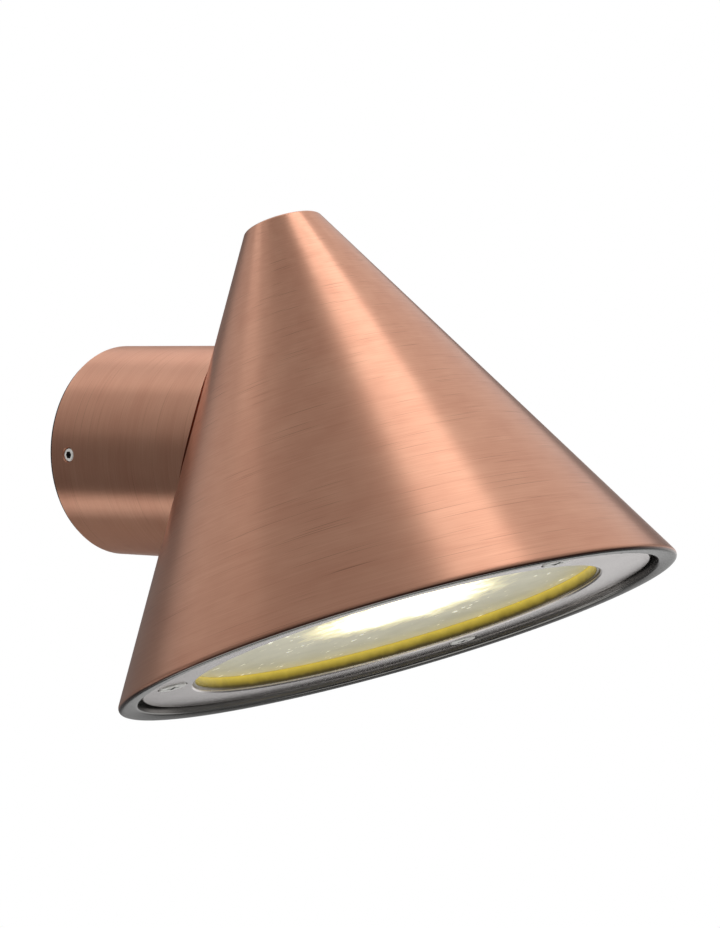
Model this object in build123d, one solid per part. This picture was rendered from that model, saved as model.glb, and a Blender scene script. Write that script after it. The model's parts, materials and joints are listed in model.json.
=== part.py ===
from build123d import *
import math
import os

# Outdoor wall light: a plated conical shade leans out from a short barrel on the wall, and a
# twist-lock reflector lamp shines down through a textured glass held by a screwed ring.
# Millimetres, +Z up. The wall is the plane Y = 0, the light stands out from it along -Y,
# and the origin is the middle of the wall bracket's back face.

# Shade
shade_base_radius = 82.8
shade_top_radius = 11.3
shade_height = 126.0
shade_wall = 3.0
shade_crown = 4.0
shade_tilt = 20.0
rim_width = 6.4
rim_round = 1.2
rim_inner_round = 0.7
top_round = 1.4

# Place of the shade: from the wall to where the two axes cross, and from the base up to there
wall_reach = 90.8
crossing_height = 54.7

# Retaining ring and its screws
ring_recess = 2.3
ring_thickness = 3.0
ring_gap = 1.7
ring_width = 14.7
ring_chamfer = 0.4
ring_screw_inset = 8.2
ring_screw_count = 3
ring_screw_first_angle = 24.5
ring_screw_radius = 2.0
ring_screw_length = 10.0
ring_screw_head_radius = 3.9
ring_screw_head_height = 1.6
ring_counterbore_depth = 1.2
ring_counterbore_gap = 0.45
ring_boss_wall = 2.5
ring_boss_spare = 1.8
ring_boss_roof = 2.0

# Glass and its seal
glass_depth = 4.3
glass_thickness = 4.0
glass_overlap = 2.0
glass_edge_gap = 0.1
glass_chamfer = 0.3
seal_wall = 0.7
seal_top_lip = 1.0
seal_lip = 0.9
seal_pocket_gap = 0.2
seal_lip_recess = 0.9
shelf_thickness = 2.4
shelf_reach = 2.0

# Barrel
barrel_radius = 31.75
barrel_wall = 4.0
barrel_floor_thickness = 9.25
barrel_edge_relief = 0.5
barrel_end_gap = 0.1

# Wall bracket, its seal and grommet
gasket_thickness = 1.0
gasket_inset = 0.6
bracket_plate = 2.0
bracket_rim_depth = 13.0
bracket_round = 0.8
bracket_rim_wall = 2.5
bracket_fit_gap = 0.3
slot_spacing = 34.0
slot_length = 11.0
slot_width = 5.0
gasket_hole_gap = 1.0
cable_bore_radius = 4.0
grommet_wall = 3.0
grommet_flange = 2.5
grommet_flange_height = 1.5
grommet_round = 0.7
bracket_earth_drop = 17.0

# Set screws that clamp the barrel on the bracket
set_screw_radius = 2.0
set_screw_from_wall = 8.15
set_screw_sunk = 0.25
set_screw_tip_gap = 0.05
set_screw_socket = 2.0
set_screw_socket_depth = 2.0
set_screw_chamfer = 0.3
set_screw_hole_bevel = 0.35
set_screw_bevel_depth = 0.7
thread_gap = 0.05

# Hollow stem between barrel and shade
stem_radius = 5.0
stem_bore_radius = 3.5
stem_hole_gap = 0.1
stem_nut_flats = 12.0
stem_nut_height = 4.0
stem_washer_radius = 9.0
stem_washer_thickness = 1.0
stem_thread_spare = 1.5
stem_pad_radius = 13.0
stem_pad_rise = 3.2
bush_wall = 0.6
bush_flange = 1.3
bush_flange_height = 0.8

# Terminal block
terminal_width = 24.0
terminal_height = 14.0
terminal_depth = 12.0
terminal_offset = 9.0
terminal_corner = 1.2
terminal_pole_spacing = 15.0
terminal_insert_radius = 2.4
terminal_insert_bore = 1.5
terminal_insert_inset = 0.6
terminal_screw_radius = 1.5
terminal_screw_spacing = 7.0
terminal_screw_sunk = 1.0
terminal_slot_width = 0.6
terminal_slot_depth = 0.8
terminal_fixing_radius = 1.5
terminal_fixing_head_radius = 2.8
terminal_fixing_head_height = 2.0
terminal_fixing_grip = 5.0

# Earth screws
earth_screw_radius = 2.0
earth_head_radius = 3.8
earth_head_height = 2.2
earth_washer_radius = 4.5
earth_washer_thickness = 0.8
earth_screw_grip = 4.5
earth_tip_clearance = 0.3
earth_drop = 17.0

# Reflector lamp
lamp_radius = 25.0
lamp_length = 47.0
lamp_front_rise = 4.4
lamp_collar = 4.0
lamp_dome = 1.4
lamp_neck_radius = 10.5
lamp_shoulder_round = 8.0
lamp_neck_round = 1.5
lamp_base_radius = 9.6
lamp_base_height = 7.0
lamp_lens_inset = 1.6
lamp_lens_thickness = 2.0
lamp_pin_spacing = 10.0
lamp_pin_radius = 1.5
lamp_pin_head_radius = 2.4
lamp_pin_stalk = 4.5
lamp_pin_head_height = 2.5
lamp_twist = 20.0

# Lampholder, its contacts and the strap that carries it
holder_gap = 0.3
holder_radius = 14.5
holder_face = 3.2
holder_body_height = 15.0
holder_cap_height = 3.0
holder_pin_gap = 0.3
holder_head_gap = 0.4
holder_pocket_height = 5.5
holder_screw_spacing = 22.0
holder_screw_radius = 1.25
holder_screw_head_radius = 2.3
holder_screw_head_height = 2.0
contact_width = 5.0
contact_height = 5.0
contact_gap = 0.2
strap_thickness = 1.5
strap_width = 13.0
strap_end_gap = 3.35
strap_overhang = 4.5
strap_corner = 3.6
post_radius = 4.0
strap_screw_radius = 1.5
strap_screw_head_radius = 2.8
strap_screw_head_height = 2.0
strap_screw_grip = 6.5

# Internal leads
lead_radius = 1.1
lead_spacing = 3.2
lead_loop_drop = 11.0
lead_loop_depth = 17.9
lead_slack = 8.2
lead_exit_run = 5.5
lead_inserted = 4.0
lead_notch_gap = 0.1
bend_share = 0.45

# Pan-head screws, as shares of the head's own height and radius
head_dome_share = 0.45
recess_length_share = 1.15
recess_width_share = 0.26
recess_floor_share = 0.4

# How far a cutter runs past the face that it cuts
cut_over = 1.0

# Values that follow from the sizes above
tilt = math.radians(shade_tilt)
slope = (shade_base_radius - shade_top_radius) / shade_height
wall_across = shade_wall * math.sqrt(1 + slope ** 2)
rim_bore_radius = shade_base_radius - rim_width
ring_back = ring_recess + ring_thickness
ring_radius = rim_bore_radius - ring_gap
ring_bore_radius = ring_radius - ring_width
ring_screw_circle_radius = ring_radius - ring_screw_inset
glass_face = ring_recess + glass_depth
glass_back = glass_face + glass_thickness
glass_radius = ring_bore_radius + glass_overlap
seal_radius = glass_radius + glass_edge_gap + seal_wall
pocket_radius = seal_radius + seal_pocket_gap
pocket_roof = glass_back + seal_top_lip
shelf_top = pocket_roof + shelf_thickness
ring_screw_seat = ring_recess + ring_counterbore_depth
barrel_bore_radius = barrel_radius - barrel_wall
bracket_radius = barrel_bore_radius - bracket_fit_gap
plate_face = gasket_thickness + bracket_plate
cup_bore_radius = bracket_radius - bracket_rim_wall
grommet_radius = cable_bore_radius + grommet_wall
stem_hole_radius = stem_radius + stem_hole_gap
lamp_front = glass_back + lamp_front_rise
lamp_back = lamp_front + lamp_length
holder_bottom = lamp_back + holder_gap
holder_split = holder_bottom + holder_body_height
holder_top = holder_split + holder_cap_height
strap_top = holder_top + strap_thickness
contact_base = holder_bottom + holder_face + holder_pocket_height + contact_gap
lead_level = contact_base + contact_height - lead_radius

# Frames: HEAD runs up the shade's axis from its base, WALL runs out from the wall along the barrel
HEAD = Location(
    (0, -wall_reach - crossing_height * math.sin(tilt), -crossing_height * math.cos(tilt)),
    (-shade_tilt, 0, 0),
)
WALL = Location((0, 0, 0), (90, 0, 0))


def rod(radius, low, high, x=0.0, y=0.0):
    """Round bar between two heights."""
    solid = Cylinder(radius, high - low, align=(Align.CENTER, Align.CENTER, Align.MIN))
    return Pos(x, y, low) * solid


def tube(radius, bore, low, high, x=0.0, y=0.0):
    """Round bar with a bore right through."""
    return rod(radius, low, high, x, y) - rod(bore, low - cut_over, high + cut_over, x, y)


def bar(x_size, y_size, low, high, x=0.0, y=0.0):
    """Square-edged block between two heights."""
    block = Box(x_size, y_size, high - low, align=(Align.CENTER, Align.CENTER, Align.MIN))
    return Pos(x, y, low) * block


def profile(points):
    """Flat outline in radius and height, ready to be turned."""
    return make_face(Polyline(*points, close=True))


def turned(outline):
    """Solid of revolution of an outline in radius and height."""
    return revolve(Plane.XZ * outline, Axis.Z)


def rounded(outline, radius, height, size):
    """Outline with the corner nearest the given radius and height rounded."""
    corner = min(outline.vertices(), key=lambda v: math.hypot(v.X - radius, v.Y - height))
    return fillet(corner, size)


def around(count, first_angle, radius):
    """Points evenly spaced on a circle."""
    angles = [math.radians(first_angle + 360 * i / count) for i in range(count)]
    return [(radius * math.cos(a), radius * math.sin(a)) for a in angles]


def hexagon(flats, low, high):
    """Six-sided bar, with flats that face left and right."""
    outline = RegularPolygon(flats / 2, 6, major_radius=False, rotation=30)
    return Pos(0, 0, low) * extrude(outline, high - low)


def pan_screw(shank, head, seat, head_height, grip, x=0.0, y=0.0, up=1):
    """Screw with a domed head and a cross recess; up=1 drives it towards +Z from its seat."""
    cap = rod(head, -head_height, 0)
    cap = fillet(cap.edges().sort_by(Axis.Z)[0], head_height * head_dome_share)
    recess = bar(
        head * recess_length_share, head * recess_width_share,
        -head_height - cut_over, -head_height * recess_floor_share,
    )
    cap -= recess + Rot(0, 0, 90) * recess
    screw = cap + rod(shank, 0, grip)
    if up < 0:
        screw = Rot(180, 0, 0) * screw
    return Pos(x, y, seat) * screw


def outer_radius(height):
    """Shade's outside radius at a height above its base."""
    return shade_base_radius - slope * height


def inner_radius(height):
    """Shade's inside radius at a height above its base."""
    return outer_radius(height) - wall_across


def surface_from_wall(base_radius):
    """Distance from the wall, along the barrel's axis, to a cone with that base radius."""
    radius_at_crossing = base_radius - slope * crossing_height
    return wall_reach - radius_at_crossing / (math.cos(tilt) + slope * math.sin(tilt))


def shade_envelope(extra=0.0):
    """The shade's outer form as one solid, grown sideways by extra."""
    points = [
        (0, 0),
        (shade_base_radius + extra, 0),
        (shade_top_radius + extra, shade_height),
        (0, shade_height),
    ]
    return turned(profile(points))


def holder_post_points():
    """The strap's ends stop short of the shade's inside, and a post stands over each end."""
    reach = inner_radius(strap_top) - strap_end_gap - strap_overhang
    return [(-reach, 0), (reach, 0)]


def ring_screw_points():
    return around(ring_screw_count, ring_screw_first_angle, ring_screw_circle_radius)


# Levels along the barrel, which follow the shade's surface
barrel_floor = surface_from_wall(shade_base_radius) - barrel_floor_thickness
lead_loop_level = barrel_floor - lead_loop_depth
stem_pad_face = surface_from_wall(shade_base_radius - wall_across) + stem_pad_rise
stem_shade_end = stem_pad_face + stem_washer_thickness + stem_nut_height + stem_thread_spare
stem_barrel_end = barrel_floor - stem_washer_thickness - stem_nut_height - stem_thread_spare


def shade_shell():
    """Hollow cone with a closed top, a rim, and a shelf with a pocket for the sealed glass."""
    cavity_top = shade_height - shade_crown
    outline = profile([
        (0, shade_height),
        (shade_top_radius, shade_height),
        (shade_base_radius, 0),
        (rim_bore_radius, 0),
        (rim_bore_radius, ring_back),
        (pocket_radius, ring_back),
        (pocket_radius, pocket_roof),
        (ring_bore_radius - shelf_reach, pocket_roof),
        (ring_bore_radius - shelf_reach, shelf_top),
        (inner_radius(shelf_top), shelf_top),
        (inner_radius(cavity_top), cavity_top),
        (0, cavity_top),
    ])
    outline = rounded(outline, shade_base_radius, 0, rim_round)
    outline = rounded(outline, rim_bore_radius, 0, rim_inner_round)
    outline = rounded(outline, shade_top_radius, shade_height, top_round)
    return turned(outline)


def ring_boss(x, y, top):
    """Screw boss on the glass shelf, with a web that joins it to the shade's wall."""
    radius = ring_screw_radius + ring_boss_wall
    boss = rod(radius, pocket_roof, top, x, y)
    reach = shade_base_radius - ring_screw_circle_radius
    web = bar(reach, radius * 2, pocket_roof, top, ring_screw_circle_radius + reach / 2, 0)
    return boss + Rot(0, 0, math.degrees(math.atan2(y, x))) * web


def shade_cone():
    """Shade with its screw bosses, lampholder posts and the flat pad for the stem."""
    hole_top = ring_screw_seat + ring_screw_length + ring_boss_spare
    post_hole_top = strap_top + strap_screw_grip
    additions = []
    for x, y in ring_screw_points():
        additions.append(ring_boss(x, y, hole_top + ring_boss_roof))
    for x, y in holder_post_points():
        additions.append(rod(post_radius, strap_top, shade_height, x, y))
    pad = HEAD.inverse() * WALL * rod(stem_pad_radius, 0, stem_pad_face)
    additions.append(pad)
    shade = shade_shell()
    envelope = shade_envelope(-shade_wall / 2)
    for addition in additions:
        shade += addition & envelope
    for x, y in ring_screw_points():
        shade -= rod(ring_screw_radius + thread_gap, ring_back - cut_over, hole_top, x, y)
    for x, y in holder_post_points():
        shade -= rod(strap_screw_radius, strap_top - cut_over, post_hole_top, x, y)
    shade -= HEAD.inverse() * WALL * rod(stem_hole_radius, barrel_floor, wall_reach)
    return HEAD * shade


def retaining_ring():
    """Flat ring that clamps the glass, with a shallow counterbore for each screw."""
    outline = profile([
        (ring_bore_radius, ring_recess + ring_chamfer),
        (ring_bore_radius + ring_chamfer, ring_recess),
        (ring_radius - ring_chamfer, ring_recess),
        (ring_radius, ring_recess + ring_chamfer),
        (ring_radius, ring_back),
        (ring_bore_radius, ring_back),
    ])
    ring = turned(outline)
    for x, y in ring_screw_points():
        ring -= rod(ring_screw_head_radius + ring_counterbore_gap, 0, ring_screw_seat, x, y)
        ring -= rod(ring_screw_radius + thread_gap, 0, ring_back + cut_over, x, y)
    return HEAD * ring


def ring_screws():
    screws = Part()
    for x, y in ring_screw_points():
        screws += pan_screw(
            ring_screw_radius, ring_screw_head_radius, ring_screw_seat,
            ring_screw_head_height, ring_screw_length, x, y,
        )
    return HEAD * screws


def lens_seal():
    """Channel seal round the glass edge, with a lip turned down into the ring's bore."""
    lip_outside = ring_bore_radius - glass_edge_gap
    lip_inside = lip_outside - seal_lip
    channel = glass_radius + glass_edge_gap
    outline = profile([
        (lip_inside, ring_recess + seal_lip_recess),
        (lip_outside, ring_recess + seal_lip_recess),
        (lip_outside, ring_back),
        (seal_radius, ring_back),
        (seal_radius, pocket_roof),
        (lip_outside, pocket_roof),
        (lip_outside, glass_back),
        (channel, glass_back),
        (channel, glass_face),
        (lip_inside, glass_face),
    ])
    return HEAD * turned(outline)


def lens_glass():
    disc = rod(glass_radius, glass_face, glass_back)
    disc = chamfer(disc.edges().filter_by(GeomType.CIRCLE), glass_chamfer)
    return HEAD * disc


def mounting_barrel():
    """Barrel with a solid floor, its front saddle-cut to the shade with a relieved outer edge."""
    low = gasket_thickness + barrel_end_gap
    body = WALL * rod(barrel_radius, low, wall_reach)
    body -= HEAD * shade_envelope()
    relief = HEAD * shade_envelope(barrel_edge_relief)
    body -= relief - WALL * rod(barrel_radius - barrel_edge_relief * 2, 0, wall_reach)
    body -= WALL * rod(barrel_bore_radius, 0, barrel_floor)
    body -= WALL * rod(stem_hole_radius, 0, wall_reach)
    body -= WALL * rod(
        terminal_fixing_radius, barrel_floor - cut_over, barrel_floor + terminal_fixing_grip,
        0, terminal_middle(),
    )
    body -= WALL * rod(
        earth_screw_radius, barrel_floor - cut_over, barrel_floor + earth_screw_grip,
        0, -earth_drop,
    )
    hole_radius = set_screw_radius + thread_gap
    hole = rod(hole_radius, 0, barrel_radius + cut_over)
    bevel = Pos(0, 0, barrel_radius) * Cone(
        hole_radius, hole_radius + set_screw_hole_bevel * 2, set_screw_bevel_depth * 2
    )
    for side in (-1, 1):
        body -= set_screw_frame(side) * (hole + bevel)
    return body


def set_screw_frame(side):
    """Frame on the barrel's axis that points out through a set screw; side is -1 or 1 in X."""
    return Location((0, -set_screw_from_wall, 0), (0, 90 * side, 0))


def set_screw(side):
    """Headless screw with a hexagon socket, its tip just clear of the bracket's rim."""
    tip = bracket_radius + set_screw_tip_gap
    top = barrel_radius - set_screw_sunk
    screw = rod(set_screw_radius, tip, top)
    screw = chamfer(screw.edges().filter_by(GeomType.CIRCLE), set_screw_chamfer)
    screw -= hexagon(set_screw_socket, top - set_screw_socket_depth, top + cut_over)
    return set_screw_frame(side) * screw


def slot_cutter(extra, low, high):
    """The bracket's two slots for wall screws, grown by extra."""
    outline = SlotOverall(slot_length + 2 * extra, slot_width + 2 * extra)
    cutter = Part()
    for side in (-1, 1):
        cutter += Pos(side * slot_spacing / 2, 0, low) * extrude(outline, high - low)
    return cutter


def wall_plate():
    """Pressed cup that is screwed to the wall; the barrel slides over its rim."""
    rim_end = gasket_thickness + bracket_rim_depth
    cup = rod(bracket_radius, gasket_thickness, rim_end)
    cup = fillet(cup.edges().sort_by(Axis.Z)[0], bracket_round)
    cup -= rod(cup_bore_radius, plate_face, rim_end + cut_over)
    cup -= slot_cutter(0, 0, plate_face + cut_over)
    cup -= rod(grommet_radius, 0, plate_face + cut_over)
    cup -= rod(earth_screw_radius, 0, plate_face + cut_over, 0, -bracket_earth_drop)
    return WALL * cup


def wall_gasket():
    """Flat weather seal between the bracket, the barrel's end and the wall."""
    sheet = rod(barrel_radius - gasket_inset, 0, gasket_thickness)
    low = -cut_over
    high = gasket_thickness + cut_over
    sheet -= slot_cutter(gasket_hole_gap, low, high)
    sheet -= rod(grommet_radius + grommet_flange, low, high)
    sheet -= rod(earth_screw_radius + gasket_hole_gap, low, high, 0, -bracket_earth_drop)
    return WALL * sheet


def cable_grommet():
    """Rubber grommet gripped by the plate, with the bore for the supply cable."""
    flange = grommet_radius + grommet_flange
    body = rod(flange, 0, gasket_thickness)
    body += rod(grommet_radius, 0, plate_face)
    collar = rod(flange, plate_face, plate_face + grommet_flange_height)
    body += fillet(collar.edges().sort_by(Axis.Z)[-1], grommet_round)
    body -= rod(cable_bore_radius, -cut_over, plate_face + grommet_flange_height + cut_over)
    return WALL * body


def earth_pair(floor, drop, grip, up):
    """Earth screw and its cup washer on a floor at a distance from the wall."""
    seat = floor - up * earth_washer_thickness
    low = min(floor, seat)
    washer = tube(
        earth_washer_radius, earth_screw_radius, low, low + earth_washer_thickness, 0, -drop
    )
    screw = pan_screw(
        earth_screw_radius, earth_head_radius, seat, earth_head_height, grip, 0, -drop, up
    )
    return WALL * screw, WALL * washer


def hollow_stem():
    """Threaded tube that pulls shade and barrel together and carries the leads."""
    return WALL * tube(stem_radius, stem_bore_radius, stem_barrel_end, stem_shade_end)


def stem_nut(low):
    nut = hexagon(stem_nut_flats, low, low + stem_nut_height)
    nut -= rod(stem_radius, low - cut_over, low + stem_nut_height + cut_over)
    return WALL * nut


def stem_washer(low):
    return WALL * tube(stem_washer_radius, stem_radius, low, low + stem_washer_thickness)


def stem_bush():
    """Insulating sleeve in the stem, with a flange at the barrel end."""
    bore = stem_bore_radius - bush_wall
    sleeve = tube(stem_bore_radius, bore, stem_barrel_end, stem_shade_end)
    flange_low = stem_barrel_end - bush_flange_height
    sleeve += tube(stem_bore_radius + bush_flange, bore, flange_low, stem_barrel_end)
    return WALL * sleeve


def terminal_middle():
    return terminal_offset + terminal_height / 2


def terminal_face():
    return barrel_floor - terminal_depth


def terminal_insert_level():
    return barrel_floor - terminal_depth / 2


def terminal_poles():
    return [-terminal_pole_spacing / 2, terminal_pole_spacing / 2]


def pole_bar(radius, x, inset):
    """Bar along a pole of the block, shortened by inset at each end."""
    lying = Rot(90, 0, 0) * Cylinder(radius, terminal_height - 2 * inset)
    return Pos(x, terminal_middle(), terminal_insert_level()) * lying


def terminal_screw_spots():
    half = terminal_screw_spacing / 2
    middle = terminal_middle()
    return [(x, y) for x in terminal_poles() for y in (middle - half, middle + half)]


def terminal_block():
    """Two-pole block on the barrel's floor, open at both ends of each pole."""
    middle = terminal_middle()
    level = terminal_insert_level()
    low = terminal_face() - cut_over
    block = bar(terminal_width, terminal_height, terminal_face(), barrel_floor, 0, middle)
    block = fillet(block.edges().filter_by(Axis.Z), terminal_corner)
    for x in terminal_poles():
        block -= pole_bar(terminal_insert_radius, x, -cut_over)
    for x, y in terminal_screw_spots():
        block -= rod(terminal_screw_radius + thread_gap, low, level, x, y)
    block -= rod(terminal_fixing_radius, low, barrel_floor + cut_over, 0, middle)
    block -= rod(terminal_fixing_head_radius + thread_gap, low, level, 0, middle)
    return WALL * block


def terminal_inserts():
    """Brass sleeve in each pole, drilled for its two clamp screws."""
    inserts = Part()
    for x in terminal_poles():
        sleeve = pole_bar(terminal_insert_radius, x, terminal_insert_inset)
        sleeve -= pole_bar(terminal_insert_bore, x, -cut_over)
        inserts += sleeve
    for x, y in terminal_screw_spots():
        inserts -= rod(terminal_screw_radius, terminal_face(), terminal_insert_level(), x, y)
    return WALL * inserts


def terminal_screws():
    """Slotted clamp screws that reach just into each sleeve's bore."""
    screws = Part()
    low = terminal_face() + terminal_screw_sunk
    high = terminal_insert_level() - terminal_insert_bore
    for x, y in terminal_screw_spots():
        screw = rod(terminal_screw_radius, low, high, x, y)
        screw -= bar(
            2 * (terminal_screw_radius + cut_over), terminal_slot_width,
            low - cut_over, low + terminal_slot_depth, x, y,
        )
        screws += screw
    return WALL * screws


def terminal_fixing_screw():
    seat = terminal_insert_level()
    grip = barrel_floor + terminal_fixing_grip - seat
    return WALL * pan_screw(
        terminal_fixing_radius, terminal_fixing_head_radius, seat,
        terminal_fixing_head_height, grip, 0, terminal_middle(),
    )


def lamp_housing():
    """Lamp body: a straight collar, then a taper down to the neck."""
    neck = lamp_back - lamp_base_height
    shoulder = lamp_front + lamp_collar
    outline = profile([
        (0, lamp_front + lamp_lens_thickness),
        (lamp_radius - lamp_lens_inset, lamp_front + lamp_lens_thickness),
        (lamp_radius - lamp_lens_inset, lamp_front),
        (lamp_radius, lamp_front),
        (lamp_radius, shoulder),
        (lamp_neck_radius, neck),
        (0, neck),
    ])
    outline = rounded(outline, lamp_radius, shoulder, lamp_shoulder_round)
    outline = rounded(outline, lamp_neck_radius, neck, lamp_neck_round)
    return HEAD * turned(outline)


def lamp_diffuser():
    """Frosted front of the lamp, slightly domed."""
    radius = lamp_radius - lamp_lens_inset
    back = lamp_front + lamp_lens_thickness
    crown = lamp_front - lamp_dome
    halfway = (radius / 2, lamp_front - lamp_dome * 3 / 4)
    sides = Polyline((radius, lamp_front), (radius, back), (0, back), (0, crown))
    dome = ThreePointArc((0, crown), halfway, (radius, lamp_front))
    return HEAD * turned(make_face([sides, dome]))


def lamp_base():
    return HEAD * rod(lamp_base_radius, lamp_back - lamp_base_height, lamp_back)


def lamp_pin_spots():
    return [(-lamp_pin_spacing / 2, 0), (lamp_pin_spacing / 2, 0)]


def lamp_pins():
    """Two pins with wide heads that lock behind the lampholder's face."""
    pins = Part()
    head_low = lamp_back + lamp_pin_stalk
    for x, y in lamp_pin_spots():
        pins += rod(lamp_pin_radius, lamp_back, head_low, x, y)
        pins += rod(lamp_pin_head_radius, head_low, head_low + lamp_pin_head_height, x, y)
    return HEAD * pins


def arc_slot(half_width, low, high):
    """Curved slot cutter that a pin follows through the lamp's twist."""
    radius = lamp_pin_spacing / 2
    face = Plane.XZ * profile([
        (radius - half_width, low),
        (radius + half_width, low),
        (radius + half_width, high),
        (radius - half_width, high),
    ])
    one = revolve(face, Axis.Z, revolution_arc=lamp_twist)
    one += rod(half_width, low, high, radius, 0)
    one += Rot(0, 0, lamp_twist) * rod(half_width, low, high, radius, 0)
    return one + Rot(0, 0, 180) * one


def holder_screw_spots():
    return [(-holder_screw_spacing / 2, 0), (holder_screw_spacing / 2, 0)]


def contact_box(extra, high):
    """Space of the two contacts, grown by extra and reaching up to high."""
    size = contact_width + 2 * extra
    boxes = Part()
    for x, y in lamp_pin_spots():
        boxes += bar(size, size, contact_base - extra, high, x, y)
    return boxes


def lampholder_body():
    """Ceramic holder with keyhole slots for the lamp's pins and pockets for the contacts."""
    low = holder_bottom - cut_over
    high = holder_split + cut_over
    face_top = holder_bottom + holder_face
    pocket_top = face_top + holder_pocket_height
    head_room = lamp_pin_head_radius + holder_head_gap
    notch = lead_radius + lead_notch_gap
    body = rod(holder_radius, holder_bottom, holder_split)
    body -= arc_slot(lamp_pin_radius + holder_pin_gap, low, face_top + cut_over)
    body -= arc_slot(head_room, face_top, pocket_top)
    for x, y in lamp_pin_spots():
        body -= Rot(0, 0, lamp_twist) * rod(head_room, low, face_top, x, y)
        body -= bar(notch * 2, holder_radius, lead_level - notch, high, x, holder_radius / 2)
    body -= contact_box(contact_gap, high)
    for x, y in holder_screw_spots():
        body -= rod(holder_screw_radius, low, high, x, y)
        body -= rod(holder_screw_head_radius + holder_pin_gap, low, holder_screw_seat(), x, y)
    return HEAD * body


def holder_screw_seat():
    return holder_bottom + holder_screw_head_height + holder_pin_gap


def lampholder_cap():
    cap = rod(holder_radius, holder_split, holder_top)
    for x, y in holder_screw_spots():
        cap -= rod(holder_screw_radius, holder_split - cut_over, holder_top + cut_over, x, y)
    return HEAD * cap


def lampholder_contacts():
    """Brass clip above each pin, where its lead ends."""
    contacts = contact_box(0, contact_base + contact_height)
    return HEAD * contacts


def lampholder_screws():
    screws = Part()
    seat = holder_screw_seat()
    for x, y in holder_screw_spots():
        screws += pan_screw(
            holder_screw_radius, holder_screw_head_radius, seat,
            holder_screw_head_height, strap_top - seat, x, y,
        )
    return HEAD * screws


def holder_strap():
    """Steel strap across the shade that carries the lampholder."""
    half_length = holder_post_points()[1][0] + strap_overhang
    low = holder_top - cut_over
    high = strap_top + cut_over
    strap = bar(half_length * 2, strap_width, holder_top, strap_top)
    strap = fillet(strap.edges().filter_by(Axis.Z), strap_corner)
    for x, y in holder_screw_spots():
        strap -= rod(holder_screw_radius, low, high, x, y)
    for x, y in holder_post_points():
        strap -= rod(strap_screw_radius, low, high, x, y)
    return HEAD * strap


def strap_screws():
    screws = Part()
    for x, y in holder_post_points():
        screws += pan_screw(
            strap_screw_radius, strap_screw_head_radius, holder_top,
            strap_screw_head_height, strap_thickness + strap_screw_grip, x, y,
        )
    return HEAD * screws


def in_shade(x, y, height):
    """Point given in the shade's own frame."""
    return (HEAD * Location((x, y, height))).position


def lead_route(side):
    """Points of a lead from its contact, through the stem, to its pole of the terminal block."""
    pin = side * lamp_pin_spacing / 2
    x = side * lead_spacing / 2
    pole = side * terminal_pole_spacing / 2
    level = terminal_insert_level()
    return [
        in_shade(pin, contact_width / 2, lead_level),
        in_shade(pin, holder_radius + lead_exit_run, lead_level),
        Vector(x, -stem_shade_end - lead_slack, 0),
        Vector(x, -lead_loop_level, 0),
        Vector(pole, -lead_loop_level, -lead_loop_drop),
        Vector(pole, -level, -lead_loop_drop),
        Vector(pole, -level, terminal_offset + lead_inserted),
    ]


def corner_radii(points):
    """Largest even bend at each corner, which takes up bend_share of the shorter run."""
    radii = []
    for before, here, after in zip(points, points[1:], points[2:]):
        run_in = here - before
        run_out = after - here
        turn = math.radians(run_in.get_angle(run_out))
        radii.append(bend_share * min(run_in.length, run_out.length) / math.tan(turn / 2))
    return radii


def lamp_lead(side):
    """Sleeved lead, straight runs joined by tangent arcs."""
    points = lead_route(side)
    radii = corner_radii(points)
    path = FilletPolyline(*points, radius=radii)
    lead = sweep(Plane(origin=path @ 0, z_dir=path % 0) * Circle(lead_radius), path=path)
    ratio = lead.volume / (math.pi * lead_radius ** 2 * path.length)
    print("lead", side, "radii", [round(r, 1) for r in radii], "volume ratio", round(ratio, 4))
    return lead


def build_nodes():
    """Every physical piece under its own name."""
    plate_grip = plate_face + earth_washer_thickness - earth_tip_clearance
    bracket_earth = earth_pair(plate_face, bracket_earth_drop, plate_grip, -1)
    barrel_earth = earth_pair(barrel_floor, earth_drop, earth_screw_grip, 1)
    return {
        "wall_plate": wall_plate(),
        "wall_gasket": wall_gasket(),
        "cable_grommet": cable_grommet(),
        "plate_earth_screw": bracket_earth[0],
        "plate_earth_washer": bracket_earth[1],
        "mounting_barrel": mounting_barrel(),
        "barrel_earth_screw": barrel_earth[0],
        "barrel_earth_washer": barrel_earth[1],
        "set_screw_left": set_screw(-1),
        "set_screw_right": set_screw(1),
        "shade_cone": shade_cone(),
        "hollow_stem": hollow_stem(),
        "stem_bush": stem_bush(),
        "shade_nut": stem_nut(stem_pad_face + stem_washer_thickness),
        "shade_seal_washer": stem_washer(stem_pad_face),
        "barrel_nut": stem_nut(barrel_floor - stem_washer_thickness - stem_nut_height),
        "barrel_spring_washer": stem_washer(barrel_floor - stem_washer_thickness),
        "terminal_block": terminal_block(),
        "terminal_inserts": terminal_inserts(),
        "terminal_screws": terminal_screws(),
        "terminal_fixing_screw": terminal_fixing_screw(),
        "live_lead": lamp_lead(-1),
        "neutral_lead": lamp_lead(1),
        "holder_strap": holder_strap(),
        "strap_screws": strap_screws(),
        "lampholder_body": lampholder_body(),
        "lampholder_cap": lampholder_cap(),
        "lampholder_contacts": lampholder_contacts(),
        "lampholder_screws": lampholder_screws(),
        "lamp_housing": lamp_housing(),
        "lamp_diffuser": lamp_diffuser(),
        "lamp_base": lamp_base(),
        "lamp_pins": lamp_pins(),
        "lens_glass": lens_glass(),
        "lens_seal": lens_seal(),
        "retaining_ring": retaining_ring(),
        "ring_screws": ring_screws(),
    }


def main():
    os.makedirs("parts", exist_ok=True)
    for name, shape in build_nodes().items():
        export_step(shape, os.path.join("parts", name + ".step"))


if __name__ == "__main__":
    main()
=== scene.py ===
import json
import math

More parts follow.
